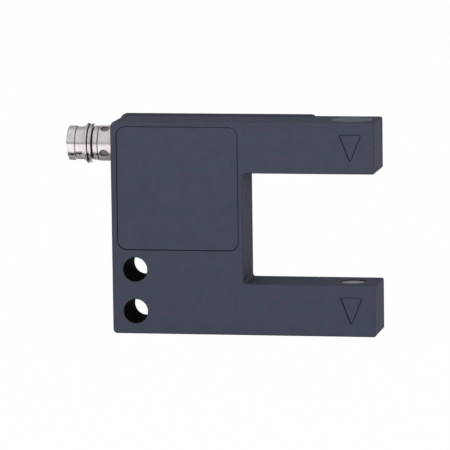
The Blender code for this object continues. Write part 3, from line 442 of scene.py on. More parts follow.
# Each moulded finish as its two tones, its roughness range and its marks for each mm
mouldedLooks = {
    "blackInsulator": (rgb(0.018, 0.018, 0.020), rgb(0.030, 0.030, 0.033), (0.38, 0.55), 5.0),
    "blackRubber": (rgb(0.014, 0.014, 0.015), rgb(0.026, 0.026, 0.027), (0.72, 0.88), 7.0),
    "chipMoulding": (rgb(0.022, 0.022, 0.025), rgb(0.040, 0.040, 0.043), (0.50, 0.66), 9.0),
    "brownLead": (rgb(0.120, 0.046, 0.018), rgb(0.165, 0.070, 0.030), (0.42, 0.55), 4.0),
    "blueLead": (rgb(0.018, 0.062, 0.330), rgb(0.028, 0.090, 0.400), (0.42, 0.55), 4.0),
    "blackLead": (rgb(0.011, 0.011, 0.012), rgb(0.022, 0.022, 0.024), (0.42, 0.55), 4.0),
    "redLead": (rgb(0.400, 0.018, 0.018), rgb(0.480, 0.035, 0.030), (0.42, 0.55), 4.0),
}
for mouldedName, (base, second, limits, marksPerMm) in mouldedLooks.items():
    plainLooks[mouldedName] = {
        "shader": {"IOR": 1.48},
        "tones": (base, second),
        "levels": (0.35, 0.7),
        "cloud": ((marksPerMm * 0.2,) * 3, 2.0, 0.5),
        "grain": ((marksPerMm,) * 3, 2.0, 0.6),
        "roughness": limits,
        "bump": (0.4, 0.006 * mm),
    }


def makePlain(name):
    look = plainLooks[name]
    plain = Finish(name, look["shader"])
    where = plain.place()
    cloud, grain = [plain.noise(plain.stretched(where, scales), 1.0, detail, roughness)
                    for scales, detail, roughness in (look["cloud"], look["grain"])]
    plain.feed("Base Color", plain.blend(cloud, look["levels"], *look["tones"]))
    plain.feedRoughness(look["roughness"], grain)
    if "bump" in look:
        plain.feed("Normal", plain.bump(grain, *look["bump"]))
    return plain.material


plugLook = {
    "base": rgb(0.078, 0.086, 0.112),
    "pale": rgb(0.125, 0.136, 0.165),
    "roughness": (0.44, 0.60),
    "ringScale": 7.0,
    "ringHeight": 0.004 * mm,
}


# Satin plugs, faced on a lathe: rings round the optical axis
def makePlug():
    look = plugLook
    plug = Finish("greyPlug", {"IOR": 1.5, "Specular IOR Level": 0.3})
    where = plug.place()
    x, y, z = plug.split(where)
    axisX = (upperPlugLow.x + upperPlugHigh.x) / 2 / mm
    across = distanceFrom(x - axisX, y)
    rings = plug.node("ShaderNodeTexNoise", {"noise_dimensions": "1D"},
                      {"W": across * look["ringScale"], "Scale": 1.0, "Detail": 2.0})
    cloud = plug.noise(where, 0.8, 2.0, 0.5)
    plug.feed("Base Color", plug.blend(0.5 * cloud + 0.5 * rings, (0.40, 0.62), look["base"], look["pale"]))
    plug.feedRoughness(look["roughness"], rings)
    plug.feed("Normal", plug.bump(rings, 0.5, look["ringHeight"]))
    return plug.material


lensLook = {
    "base": rgb(0.058, 0.063, 0.080),
    "rim": rgb(0.115, 0.122, 0.148),
    "rimPlace": (1.6, 2.7),
    "roughness": (0.05, 0.14),
}


# Smoked filter lens, paler towards its rim
def makeLens():
    look = lensLook
    lens = Finish("smokedLens", {"IOR": 1.58, "Coat Weight": 0.6, "Coat Roughness": 0.04})
    where = lens.place()
    x, y, z = lens.split(where)
    axisX = (upperLensLow.x + upperLensHigh.x) / 2 / mm
    across = distanceFrom(x - axisX, y)
    lens.feed("Base Color", lens.blend(across, look["rimPlace"], look["base"], look["rim"]))
    lens.feedRoughness(look["roughness"], lens.noise(where, 1.4, 2.0, 0.5))
    return lens.material


boardLook = {
    "lacquer": rgb(0.016, 0.130, 0.060),
    "track": rgb(0.030, 0.200, 0.095),
    "roughness": (0.34, 0.48),
    "trackPitch": 1.3,
    "trackWidth": 0.09,
}


def makeBoard():
    look = boardLook
    board = Finish("greenBoard", {"IOR": 1.5})
    where = board.place()
    tracks = board.node("ShaderNodeTexBrick", {"offset": 0.5, "squash": 0.7}, {
        "Vector": board.stretched(where, (1.0, 0.0, 1.0)), "Scale": 1 / look["trackPitch"],
        "Color1": look["lacquer"], "Color2": look["lacquer"], "Mortar": look["track"],
        "Mortar Size": look["trackWidth"]}, "Color")
    weave = board.noise(where, 4.0, 2.0, 0.5)
    board.feed("Base Color", board.mixColour(weave.smoothstep(0.3, 0.8) * 0.3, tracks, look["track"]))
    board.feedRoughness(look["roughness"], weave)
    board.feed("Normal", board.bump(weave, 0.3, 0.004 * mm))
    return board.material


print("finishes")
finishes = {
    "coat": makeCoat(),
    "sleeveNickel": makeSleeveNickel(),
    "collarNickel": makeCollarNickel(),
    "plug": makePlug(),
    "lens": makeLens(),
    "board": makeBoard(),
}
for plainName in plainLooks:
    finishes[plainName] = makePlain(plainName)


# Shapes

# The outline through corners, each (x, z, radius), moved inwards by an inset
def roundedOutline(corners, inset=0.0, arcSteps=8):
    area = 0.0
    for (x0, z0, _), (x1, z1, _) in zip(corners, corners[1:] + corners[:1]):
        area += x0 * z1 - x1 * z0
    if area < 0:
        corners = corners[::-1]
    points = []
    for index, (x, z, radius) in enumerate(corners):
        corner = Vector((x, z))
        before = (corner - Vector(corners[index - 1][:2])).normalized()
        after = (Vector(corners[(index + 1) % len(corners)][:2]) - corner).normalized()
        normalBefore = Vector((-before.y, before.x))
        normalAfter = Vector((-after.y, after.x))
        corner += (normalBefore + normalAfter) * inset / (1.0 + normalBefore.dot(normalAfter))
        turn = math.atan2(before.x * after.y - before.y * after.x, before.dot(after))
        side = math.copysign(1.0, turn)
        if radius == 0.0:
            points.append(corner)
            continue
        bend = max(radius - side * inset, 0.01 * mm)
        start = corner - before * bend * math.tan(abs(turn) / 2)
        centre = start + normalBefore * side * bend
        arm = start - centre
        for step in range(arcSteps + 1):
            angle = turn * step / arcSteps
            points.append(centre + Vector((
                arm.x * math.cos(angle) - arm.y * math.sin(angle),
                arm.x * math.sin(angle) + arm.y * math.cos(angle),
            )))
    return points


# Rounds the corners of an open or closed line of (radius, height) points
def softened(points, radius, closed=False, steps=3):
    result = []
    count = len(points)
    for index, point in enumerate(points):
        here = Vector(point)
        if not closed and index in (0, count - 1):
            result.append(here)
            continue
        before = Vector(points[index - 1]) - here
        after = Vector(points[(index + 1) % count]) - here
        reach = min(radius, before.length * 0.45, after.length * 0.45)
        start = here + before.normalized() * reach
        end = here + after.normalized() * reach
        for step in range(steps + 1):
            t = step / steps
            result.append(start * (1 - t) ** 2 + here * 2 * t * (1 - t) + end * t ** 2)
    return [tuple(point) for point in result]


def ringBridge(bm, ringA, ringB):
    count = max(len(ringA), len(ringB))
    for index in range(count):
        following = (index + 1) % count
        corners = [ringA[index % len(ringA)], ringA[following % len(ringA)],
                   ringB[following % len(ringB)], ringB[index % len(ringB)]]
        distinct = list(dict.fromkeys(corners))
        if len(distinct) > 2:
            bm.faces.new(distinct)


# A quarter round as (depth, inset) pairs, from the side of a solid up to its face
def edgeCurve(radius, steps):
    angles = [math.pi / 2 * step / steps for step in range(steps + 1)]
    return [(radius * (1 - math.sin(angle)), radius * (1 - math.cos(angle))) for angle in angles]


# A solid through outlines in the XZ plane, each given as (y, points)
def loftLayers(layers):
    bm = bmesh.new()
    rings = [[bm.verts.new((point.x, y, point.y)) for point in points] for y, points in layers]
    for ringA, ringB in zip(rings, rings[1:]):
        ringBridge(bm, ringA, ringB)
    bm.faces.new(rings[0])
    bm.faces.new(rings[-1])
    return bm


# A solid through one outline at several insets, each given as (y, inset)
def loftOutline(corners, layers):
    return loftLayers([(y, roundedOutline(corners, inset)) for y, inset in layers])


# Turns (radius, height) points about Z
def turnProfile(profile, segments):
    bm = bmesh.new()
    rings = []
    for radius, height in profile:
        count = segments if radius > 1e-7 else 1
        rings.append([bm.verts.new((radius * math.cos(2 * math.pi * index / segments),
                                    radius * math.sin(2 * math.pi * index / segments), height))
                      for index in range(count)])
    pairs = list(zip(rings, rings[1:]))
    if len(rings[0]) > 1:
        pairs.append((rings[-1], rings[0]))
    for ringA, ringB in pairs:
        ringBridge(bm, ringA, ringB)
    return bm


def rodShape(radius, start, end, segments):
    return turnProfile([(0.0, start), (radius, start), (radius, end), (0.0, end)], segments)


def boxShape(low, high):
    bm = bmesh.new()
    bmesh.ops.create_cube(bm, size=1.0)
    for vert in bm.verts:
        for axis in range(3):
            vert.co[axis] = (low[axis] + high[axis]) / 2 + vert.co[axis] * (high[axis] - low[axis])
    return bm


# A ring between two outlines, from one Y to another
def ringBand(outer, inner, near, far):
    bm = bmesh.new()
    layers = ((near, outer), (far, outer), (far, inner), (near, inner))
    rings = [[bm.verts.new((point.x, y, point.y)) for point in points] for y, points in layers]
    for ringA, ringB in zip(rings, rings[1:] + rings[:1]):
        ringBridge(bm, ringA, ringB)
    return bm


def toObject(name, bm, matrix=None):
    if matrix is not None:
        bm.transform(matrix)
    bmesh.ops.recalc_face_normals(bm, faces=bm.faces)
    mesh = bpy.data.meshes.new(name)
    bm.to_mesh(mesh)
    bm.free()
    made = bpy.data.objects.new(name, mesh)
    bpy.context.scene.collection.objects.link(made)
    return made


def shadeSoftly(piece):
    piece.data.shade_smooth()
    piece.data.set_sharp_from_angle(angle=sharpAngle)


def shaped(target, tools, operation):
    for tool in tools:
        modifier = target.modifiers.new(tool.name, "BOOLEAN")
        modifier.operation = operation
        modifier.solver = "EXACT"
        modifier.object = tool
    depsgraph = bpy.context.evaluated_depsgraph_get()
    result = bpy.data.meshes.new_from_object(target.evaluated_get(depsgraph))
    target.modifiers.clear()
    target.data = result
    result.name = target.name
    for tool in tools:
        bpy.data.objects.remove(tool, do_unlink=True)


# Finishes a piece: its material, its shading, its body and the node it replaces
def dress(piece, finish, node):
    piece.data.materials.clear()
    piece.data.materials.append(finishes[finish])
    shadeSoftly(piece)
    normals = piece.modifiers.new("weightedNormals", "WEIGHTED_NORMAL")
    normals.keep_sharp = True
    normals.weight = 80
    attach(piece, body)
    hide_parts(node)


def alongY(x, y, z):
    return Matrix.Translation((x, y, z)) @ Matrix.Rotation(-math.pi / 2, 4, "X")


def alongMinusX(x, y, z):
    return Matrix.Translation((x, y, z)) @ Matrix.Rotation(-math.pi / 2, 4, "Y")


# Housing

housing = {
    "wall": 1.6 * mm,
    "frontWall": 2.0 * mm,
    "slotBase": 0.0 * mm,
    "heelRadius": 0.95 * mm,
    "shoulderRadius": 1.5 * mm,
    "tipRadius": 0.5 * mm,
    "slotRadius": 0.65 * mm,
    "edgeRound": 0.24 * mm,
    "edgeSteps": 4,
    "holeChamfer": 0.18 * mm,
    "holeSegments": 96,
    "mountMargin": 5.0 * mm,
    "seatGap": 0.3 * mm,
    "fitGap": 0.2 * mm,
    "cavityRadius": 1.5 * mm,
    "cavityNutCorner": 0.4 * mm,
    "screwInset": 2.4 * mm,
    "screwLand": 3.0 * mm,
    "topScrewFromLeft": 15.0 * mm,
    "sealLand": 0.35 * mm,
    "sealGrooveWidth": 0.9 * mm,
    "sealGrooveDepth": 0.8 * mm,
    "overcut": 1.0 * mm,
}
marks = {
    "proud": 0.2 * mm,
    "slope": 0.07 * mm,
    "crown": 0.06 * mm,
    "crownSteps": 3,
    "root": 0.4 * mm,
    "moatReach": 0.02 * mm,
    "moatWidth": 0.11 * mm,
    "moatShift": (-0.065 * mm, -0.065 * mm),
    "moatDepth": 0.16 * mm,
    "fieldLeft": 1.45 * mm,
    "fieldRight": 1.0 * mm,
    "fieldTop": 1.3 * mm,
    "fieldHeight": 27.8 * mm,
    "fieldRadius": 2.0 * mm,
    "arrowWidth": 4.8 * mm,
    "arrowHeight": 6.0 * mm,
    "arrowFromAxis": 0.55 * mm,
    "arrowCorner": 0.12 * mm,
}
optics = {
    "apertureRadius": 3.0 * mm,
    "ledge": 0.8 * mm,
    "boreRadius": 4.0 * mm,
    "tunnelWidth": 3.0 * mm,
    "tunnelHeight": 1.9 * mm,
    "tunnelStart": 8.0 * mm,
    "rimChamfer": 0.12 * mm,
    "lensRecess": 0.1 * mm,
    "segments": 96,
}

tip = housingHigh.x
front = housingLow.y + marks["proud"]
back = housingHigh.y
top = housingHigh.z
bottom = housingLow.z
slotBottom = lowerLensHigh.z + optics["lensRecess"]
slotTop = upperLensLow.z - optics["lensRecess"]
armHeight = slotBottom - bottom
opticX = (upperPlugLow.x + upperPlugHigh.x) / 2
rebateFloor = coverLow.y - housing["seatGap"]
cavityFloor = front + housing["frontWall"]
mountRight = holeX + housing["mountMargin"]
mountTop = holeHeights[1] + housing["mountMargin"]
coverEnd = coverHigh.x
screwBlock = housing["screwInset"] + housing["screwLand"]
connectorZ = (collarLow.z + collarHigh.z) / 2
screwPlaces = []
for screwIndex in range(1, 6):
    screwLow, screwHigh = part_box(f"cover_screw_{screwIndex}")
    screwPlaces.append(((screwLow.x + screwHigh.x) / 2, (screwLow.z + screwHigh.z) / 2))


def housingCorners():
    tipRadius = housing["tipRadius"]
    slotRadius = housing["slotRadius"]
    slotBase = housing["slotBase"]
    return [
        (left, bottom, housing["heelRadius"]),
        (tip, bottom, tipRadius),
        (tip, slotBottom, tipRadius),
        (slotBase, slotBottom, slotRadius),
        (slotBase, slotTop, slotRadius),
        (tip, slotTop, tipRadius),
        (tip, top, tipRadius),
        (left, top, housing["shoulderRadius"]),
    ]


def cavityCorners():
    wall = housing["wall"]
    radius = housing["cavityRadius"]
    land = housing["screwLand"]
    right = housing["slotBase"] - wall
    screwX = left + housing["topScrewFromLeft"]
    tongueLeft = mountRight + housing["seatGap"]
    shelf = mountTop + housing["seatGap"]
    end = coverEnd - screwBlock
    return [
        (tongueLeft + screwBlock, bottom + wall, radius),
        (end, bottom + wall, radius),
        (end, slotBottom - wall, radius),
        (right, slotBottom - wall, radius),
        (right, slotTop + wall, radius),
        (end, slotTop + wall, radius),
        (end, top - wall, radius),
        (screwX + land, top - wall, radius),
        (screwX + land, top - screwBlock, radius),
        (screwX - land, top - screwBlock, radius),
        (screwX - land, top - wall, radius),
        (left + wall, top - wall, housing["cavityNutCorner"]),
        (left + wall, shelf + screwBlock, radius),
        (left + screwBlock, shelf + screwBlock, radius),
        (left + screwBlock, shelf + wall, radius),
        (tongueLeft + wall, shelf + wall, radius),
        (tongueLeft + wall, bottom + screwBlock, radius),
        (tongueLeft + screwBlock, bottom + screwBlock, radius),
    ]


def rebateCorners():
    gap = cover["endGap"]
    end = coverEnd + gap
    low = bottom - gap
    high = coverHigh.z + gap
    return [
        (mountRight, low, 0.0),
        (end, low, cover["endRadius"] + gap),
        (end, high, cover["endRadius"] + gap),
        (left - housing["overcut"], high, 0.0),
        (left - housing["overcut"], mountTop, 0.0),
        (mountRight, mountTop, cover["mountCorner"] + housing["seatGap"]),
    ]


def fieldCorners():
    x0 = left + marks["fieldLeft"]
    x1 = housing["slotBase"] - marks["fieldRight"]
    z1 = top - marks["fieldTop"]
    z0 = z1 - marks["fieldHeight"]
    return [(x, z, marks["fieldRadius"]) for x, z in ((x0, z0), (x1, z0), (x1, z1), (x0, z1))]


def arrowCorners(armBottom):
    x = opticX + marks["arrowFromAxis"]
    middle = armBottom + armHeight / 2
    halfWidth = marks["arrowWidth"] / 2
    halfHeight = marks["arrowHeight"] / 2
    corner = marks["arrowCorner"]
    return [
        (x - halfWidth, middle + halfHeight, corner),
        (x, middle - halfHeight, corner),
        (x + halfWidth, middle + halfHeight, corner),
    ]


def markShape(corners):
    face = front - marks["proud"]
    curve = edgeCurve(marks["crown"], marks["crownSteps"])
    layers = [(face + depth, marks["slope"] + inset) for depth, inset in reversed(curve)]
    layers.append((front + marks["root"], 0.0))
    return toObject("markShape", loftOutline(corners, layers))


# The fine groove round a mark, wider on its left and lower sides
def markMoat(corners):
    reach = marks["moatReach"]
    inner = roundedOutline(corners, -reach)
    shift = Vector(marks["moatShift"])
    outer = [point + shift for point in roundedOutline(corners, -reach - marks["moatWidth"])]
    return toObject("markMoat", ringBand(outer, inner, front - marks["root"], front + marks["moatDepth"]))


# Where an arm's inner face meets its optical axis, with Z into the arm
def opticPlace(upper):
    if upper:
        return Matrix.Translation((opticX, 0.0, slotTop))
    return Matrix.Translation((opticX, 0.0, slotBottom)) @ Matrix.Rotation(math.pi, 4, "X")


def opticBore(upper):
    over = housing["overcut"]
    rim = optics["rimChamfer"]
    plugRadius = upperPlugHigh.x - opticX + housing["fitGap"]
    plugSeat = armHeight - (upperPlugHigh.z - upperPlugLow.z) - housing["seatGap"]
    aperture = optics["apertureRadius"]
    profile = [
        (0.0, -over),
        (aperture + rim + over, -over),
        (aperture, rim),
        (aperture, optics["ledge"]),
        (optics["boreRadius"], optics["ledge"]),
        (optics["boreRadius"], plugSeat),
        (plugRadius, plugSeat),
        (plugRadius, armHeight - rim),
        (plugRadius + rim + over, armHeight + over),
        (0.0, armHeight + over),
    ]
    return toObject("opticBore", turnProfile(profile, optics["segments"]), opticPlace(upper))


def leadTunnel(upper):
    start = optics["tunnelStart"]
    end = start + optics["tunnelHeight"]
    heights = (slotTop + start, slotTop + end) if upper else (slotBottom - end, slotBottom - start)
    x0 = coverEnd - screwBlock - housing["overcut"]
    x1 = opticX - optics["boreRadius"] / 2
    half = optics["tunnelWidth"] / 2
    return toObject("leadTunnel", boxShape((x0, -half, heights[0]), (x1, half, heights[1])))


# A through hole whose rims are lightly countersunk on both faces
def mountingHole(z):
    radius = holeRadius
    rim = housing["holeChamfer"]
    over = housing["overcut"]
    profile = [
        (0.0, front - over),
        (radius + rim + over, front - over),
        (radius, front + rim),
        (radius, back - rim),
        (radius + rim + over, back + over),
        (0.0, back + over),
    ]
    return toObject("mountingHole", turnProfile(profile, housing["holeSegments"]), alongY(holeX, 0.0, z))


def makeHousing():
    curve = edgeCurve(housing["edgeRound"], housing["edgeSteps"])
    layers = [(front + depth, inset) for depth, inset in reversed(curve)]
    layers += [(back - depth, inset) for depth, inset in curve]
    shell = toObject("housingShell", loftOutline(housingCorners(), layers))
    cavity = roundedOutline(cavityCorners())
    rebate = roundedOutline(rebateCorners())
    over = housing["overcut"]
    land = housing["sealLand"]
    grooveInner = roundedOutline(cavityCorners(), -land)
    grooveOuter = roundedOutline(cavityCorners(), -land - housing["sealGrooveWidth"])
    grooveFloor = rebateFloor - housing["sealGrooveDepth"]
    shaped(shell, [
        toObject("rebate", loftLayers([(rebateFloor, rebate), (back + over, rebate)])),
        toObject("cavity", loftLayers([(cavityFloor, cavity), (back, cavity)])),
        toObject("sealGroove", ringBand(grooveOuter, grooveInner, grooveFloor, back)),
    ], "DIFFERENCE")
    markOutlines = [fieldCorners(), arrowCorners(bottom), arrowCorners(slotTop)]
    shaped(shell, [markShape(outline) for outline in markOutlines], "UNION")
    shaped(shell, [markMoat(outline) for outline in markOutlines], "DIFFERENCE")
    tools = [opticBore(True), opticBore(False), leadTunnel(True), leadTunnel(False)]
    tools += [mountingHole(z) for z in holeHeights]
    for x, z in screwPlaces:
        tapped = rodShape(screw["tapRadius"], back - screw["tapDepth"], back, screw["segments"] // 2)
        tools.append(toObject("tappedHole", tapped, alongY(x, 0.0, z)))
    neckRadius = collar["neckRadius"] + housing["fitGap"]
    neck = rodShape(neckRadius, -housing["wall"] - over, over, collar["segments"] // 2)
    tools.append(toObject("neckHole", neck, alongMinusX(left, 0.0, connectorZ)))
    shaped(shell, tools, "DIFFERENCE")
    dress(shell, "coat", "housing")


# Rear cover and its screws

cover = {
    "corner": 0.3 * mm,
    "endRadius": 1.4 * mm,
    "endGap": 0.08 * mm,
    "topRadius": 1.5 * mm,
    "mountCorner": 1.0 * mm,
    "edgeRound": 0.2 * mm,
    "edgeSteps": 3,
    "screwRecess": 0.1 * mm,
    "sinkGap": 0.15 * mm,
    "sinkRim": 0.1 * mm,
}
screw = {
    "headRadius": 1.7 * mm,
    "shankRadius": 1.0 * mm,
    "headHeight": 0.9 * mm,
    "length": 5.0 * mm,
    "headEdge": 0.12 * mm,
    "socketRadius": 0.86 * mm,
    "socketDepth": 0.65 * mm,
    "socketLobes": 6,
    "lobeSteps": 12,
    "socketWave": 0.13,
    "edgeRound": 0.06 * mm,
    "tapRadius": 1.3 * mm,
    "tapDepth": 5.4 * mm,
    "segments": 64,
}


def coverCorners():
    corner = cover["corner"]
    slotRadius = housing["slotRadius"]
    slotBase = housing["slotBase"]
    gap = housing["seatGap"]
    return [
        (mountRight + gap, bottom, corner),
        (coverEnd, bottom, cover["endRadius"]),
        (coverEnd, slotBottom, corner),
        (slotBase, slotBottom, slotRadius),
        (slotBase, slotTop, slotRadius),
        (coverEnd, slotTop, corner),
        (coverEnd, coverHigh.z, cover["endRadius"]),
        (left, coverHigh.z, cover["topRadius"]),
        (left, mountTop + gap, corner),
        (mountRight + gap, mountTop + gap, cover["mountCorner"]),
    ]


def makeCover():
    near = coverLow.y
    layers = [(near, 0.0)]
    layers += [(back - depth, inset) for depth, inset in edgeCurve(cover["edgeRound"], cover["edgeSteps"])]
    plate = toObject("rearPlate", loftOutline(coverCorners(), layers))
    head = screw["headRadius"] + cover["sinkGap"]
    shank = screw["shankRadius"] + cover["sinkGap"]
    thickness = back - near
    over = housing["overcut"]
    rim = cover["sinkRim"]
    profile = [
        (0.0, -thickness - over),
        (shank, -thickness - over),
        (shank, -cover["screwRecess"] - screw["headHeight"]),
        (head, -cover["screwRecess"]),
        (head, -rim),
        (head + rim + over, over),
        (0.0, over),
    ]
    sinks = [toObject("screwSink", turnProfile(profile, screw["segments"]), alongY(x, back, z))
             for x, z in screwPlaces]
    shaped(plate, sinks, "DIFFERENCE")
    dress(plate, "coat", "rear_cover")


# A socket with rounded lobes
def lobedSocket(radius, near, far):
    bm = bmesh.new()
    rings = []
    count = screw["socketLobes"] * screw["lobeSteps"]
    wave = screw["socketWave"]
    for height in (near, far):
        ring = []
        for index in range(count):
            angle = 2 * math.pi * index / count
            reach = radius * (1 - wave + wave * math.cos(screw["socketLobes"] * angle))
            ring.append(bm.verts.new((reach * math.cos(angle), reach * math.sin(angle), height)))
        rings.append(ring)
    ringBridge(bm, rings[0], rings[1])
    bm.faces.new(rings[0])
    bm.faces.new(rings[1])
    return bm


def makeScrews():
    topFace = -cover["screwRecess"]
    edge = screw["headEdge"]
    profile = [
        (0.0, topFace),
        (screw["headRadius"] - edge, topFace),
        (screw["headRadius"], topFace - edge),
        (screw["shankRadius"], topFace - screw["headHeight"]),
        (screw["shankRadius"], topFace - screw["length"]),
        (0.0, topFace - screw["length"]),
    ]
    for index, (x, z) in enumerate(screwPlaces, start=1):
        place = alongY(x, back, z)
        turned = turnProfile(softened(profile, screw["edgeRound"]), screw["segments"])
        made = toObject(f"coverScrew{index}", turned, place)
        socket = lobedSocket(screw["socketRadius"], topFace - screw["socketDepth"], housing["overcut"])
        shaped(made, [toObject("socketCut", socket, place)], "DIFFERENCE")
        dress(made, "darkSteel", f"cover_screw_{index}")


# Optics

lensShape = {"flangeHeight": 0.8 * mm, "bulge": 0.9 * mm, "crown": 0.12 * mm, "steps": 8}
plugShape = {"rim": 0.7 * mm, "dish": 0.3 * mm, "edge": 0.12 * mm, "steps": 10}


def makeLenses():
    face = optics["apertureRadius"] - housing["fitGap"]
    flange = upperLensHigh.x - opticX
    seat = optics["ledge"] + housing["fitGap"]
    lensBack = seat + lensShape["flangeHeight"]
    steps = lensShape["steps"]
    profile = [(0.0, optics["lensRecess"])]
    for step in range(1, steps + 1):
        share = step / steps
        profile.append((face * share, optics["lensRecess"] + lensShape["crown"] * share ** 4))
    profile += [(face, seat), (flange, seat), (flange, lensBack)]
    for step in range(steps):
        angle = math.pi / 2 * step / steps
        profile.append((face * math.cos(angle), lensBack + lensShape["bulge"] * math.sin(angle)))
    profile.append((0.0, lensBack + lensShape["bulge"]))
    for side, upper in (("sender", True), ("receiver", False)):
        made = toObject(f"{side}Lens", turnProfile(profile, optics["segments"]), opticPlace(upper))
        dress(made, "lens", f"{side}_lens")


def makePlugs():
    radius = upperPlugHigh.x - opticX
    seat = armHeight - (upperPlugHigh.z - upperPlugLow.z)
    dish = radius - plugShape["rim"]
    profile = [(0.0, seat), (radius, seat), (radius, armHeight), (dish, armHeight)]
    profile = softened(profile, plugShape["edge"])
    steps = plugShape["steps"]
    for step in range(1, steps + 1):
        share = step / steps
        depth = plugShape["dish"] * (1 - (1 - share) ** 2)
        profile.append((dish * (1 - share), armHeight - depth))
    for side, upper in (("sender", True), ("receiver", False)):
        made = toObject(f"{side}Plug", turnProfile(profile, optics["segments"]), opticPlace(upper))
        dress(made, "plug", f"{side}_plug")


# Connector, with distances outwards from the housing's left face

collar = {
    "wall": 0.55 * mm,
    "floor": 0.6 * mm,
    "neckRadius": 3.0 * mm,
    "neckWall": 0.5 * mm,
    "ringSection": 0.5 * mm,
    "ringGap": 0.15 * mm,
    "edge": 0.08 * mm,
    "crimpRadius": 1.0 * mm,
    "crimpDepth": 0.3 * mm,
    "crimpPlace": 2.15 * mm,
    "crimpAngle": math.radians(29.0),
    "crimpCount": 4,
    # Shares of the radius, each with a height above the floor
    "crimpCurve": ((0.0, 0.05 * mm), (0.5, 0.035 * mm), (0.78, 0.0), (0.92, 0.12 * mm), (1.0, 0.24 * mm)),
    "crimpDraft": 0.05 * mm,
    "crimpSegments": 48,
    "segments": 128,
}
sleeve = {
    "waist": 3.72 * mm,
    "land": 3.92 * mm,
    "rib": 4.55 * mm,
    "boreRadius": 3.3 * mm,
    "groove": 0.15 * mm,
    "rimChamfer": 0.2 * mm,
    "mouthWidth": 0.12 * mm,
    "mouthDepth": 0.18 * mm,
    "floor": 0.5 * mm,
    "tailWall": 0.45 * mm,
    "corner": 0.035 * mm,
    "segments": 128,
}


# A round dimple with a soft edge and a slightly domed floor
def crimpTool(angle):
    outer = (collarHigh.z - collarLow.z) / 2
    floor = outer - collar["crimpDepth"]
    radius = collar["crimpRadius"]
    over = outer + housing["overcut"]
    profile = [(radius * share, floor + height) for share, height in collar["crimpCurve"]]
    profile += [(radius + collar["crimpDraft"], over), (0.0, over)]
    centre = Matrix.Translation((left - collar["crimpPlace"], 0.0, connectorZ))
    place = centre @ Matrix.Rotation(angle, 4, "X")
    return toObject("crimp", turnProfile(profile, collar["crimpSegments"]), place)


def makeCollar():
    outer = (collarHigh.z - collarLow.z) / 2
    end = left - collarLow.x
    neckEnd = left - collarHigh.x
    gap = housing["seatGap"]
    neck = collar["neckRadius"]
    relief = neck + housing["fitGap"] + collar["ringSection"] + collar["ringGap"]
    profile = [
        (neck, neckEnd),
        (neck, gap + collar["ringSection"] / 2),
        (relief, gap + collar["ringSection"] / 2),
        (relief, gap),
        (outer, gap),
        (outer, end),
        (outer - collar["wall"], end),
        (outer - collar["wall"], gap + collar["floor"]),
        (neck - collar["neckWall"], gap + collar["floor"]),
        (neck - collar["neckWall"], neckEnd),
    ]
    turned = turnProfile(softened(profile, collar["edge"], closed=True), collar["segments"])
    made = toObject("connectorCollar", turned, alongMinusX(left, 0.0, connectorZ))
    crimps = [crimpTool(collar["crimpAngle"] + 2 * math.pi * index / collar["crimpCount"])
              for index in range(collar["crimpCount"])]
    shaped(made, crimps, "DIFFERENCE")
    dress(made, "collarNickel", "connector_collar")


# Stations from the collar out to the rim, as shares of the reach, with their radii
def sleeveStations():
    land = sleeve["land"]
    waist = sleeve["waist"]
    rib = sleeve["rib"]
    groove = sleeve["groove"]
    return [
        (0.0, land), (0.045, land), (0.055, land - groove), (0.08, land - groove), (0.09, land),
        (0.13, land), (0.14, land - groove), (0.19, waist - groove), (0.21, rib - groove / 2),
        (0.245, rib - groove / 2), (0.265, land + groove / 2), (0.325, land + groove / 2),
        (0.345, rib), (0.385, rib), (0.415, waist - groove / 4), (0.428, waist - groove / 4),
        (0.438, waist), (0.455, land), (0.485, land), (0.495, waist), (0.705, waist),
        (0.715, waist - groove / 2), (0.735, waist - groove / 2), (0.745, land), (0.965, land),
        (1.0, land - sleeve["rimChamfer"]),
    ]


def makeSleeve():
    reach = left - sleeveLow.x
    tailEnd = left - sleeveHigh.x
    start = left - collarLow.x + housing["fitGap"]
    tail = (collarHigh.z - collarLow.z) / 2 - collar["wall"] - housing["fitGap"]
    floor = start + sleeve["floor"]
    bore = sleeve["boreRadius"]
    profile = [(tail, tailEnd), (tail, start)]
    profile += [(radius, start + share * (reach - start)) for share, radius in sleeveStations()]
    profile += [
        (bore + sleeve["mouthWidth"], reach),
        (bore, reach - sleeve["mouthDepth"]),
        (bore, floor),
        (tail - sleeve["tailWall"], floor),
        (tail - sleeve["tailWall"], tailEnd),
    ]
    turned = turnProfile(softened(profile, sleeve["corner"], closed=True), sleeve["segments"])
    made = toObject("connectorSleeve", turned, alongMinusX(left, 0.0, connectorZ))
    dress(made, "sleeveNickel", "connector_sleeve")


print("housing")
makeHousing()
print("cover and screws")
makeCover()
makeScrews()
print("optics")
makeLenses()
makePlugs()
print("connector")
makeCollar()
makeSleeve()

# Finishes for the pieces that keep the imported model's own shape

finishNodes = {
    "blackRubber": ["cover_seal", "connector_seal"],
    "collarNickel": ["connector_nut"],
    "blackInsulator": ["contact_carrier", "sender_holder", "receiver_holder"],
    "board": ["main_board", "sender_board", "receiver_board"],
    "chipMoulding": ["controller_chip", "voltage_regulator", "output_switch"],
    "capacitorCan": ["supply_capacitor", "filter_capacitor"],
    "clearEpoxy": ["sender_diode", "receiver_diode"],
    "goldFlash": ["contact_pin_1", "contact_pin_2", "contact_pin_3"],
    "darkSteel": ["board_screw_1", "board_screw_2", "board_screw_3"],
    "redLead": ["sender_lead_1", "receiver_lead_1"],
    "blackLead": ["sender_lead_2", "receiver_lead_2", "connector_lead_3"],
    "brownLead": ["connector_lead_1"],
    "blueLead": ["connector_lead_2"],
}

print("inner pieces")
for finishName, nodeNames in finishNodes.items():
    for nodeName in nodeNames:
        slots = frame["nodes"][nodeName].data.materials
        slots.clear()
        slots.append(finishes[finishName])

# Stage, light and camera

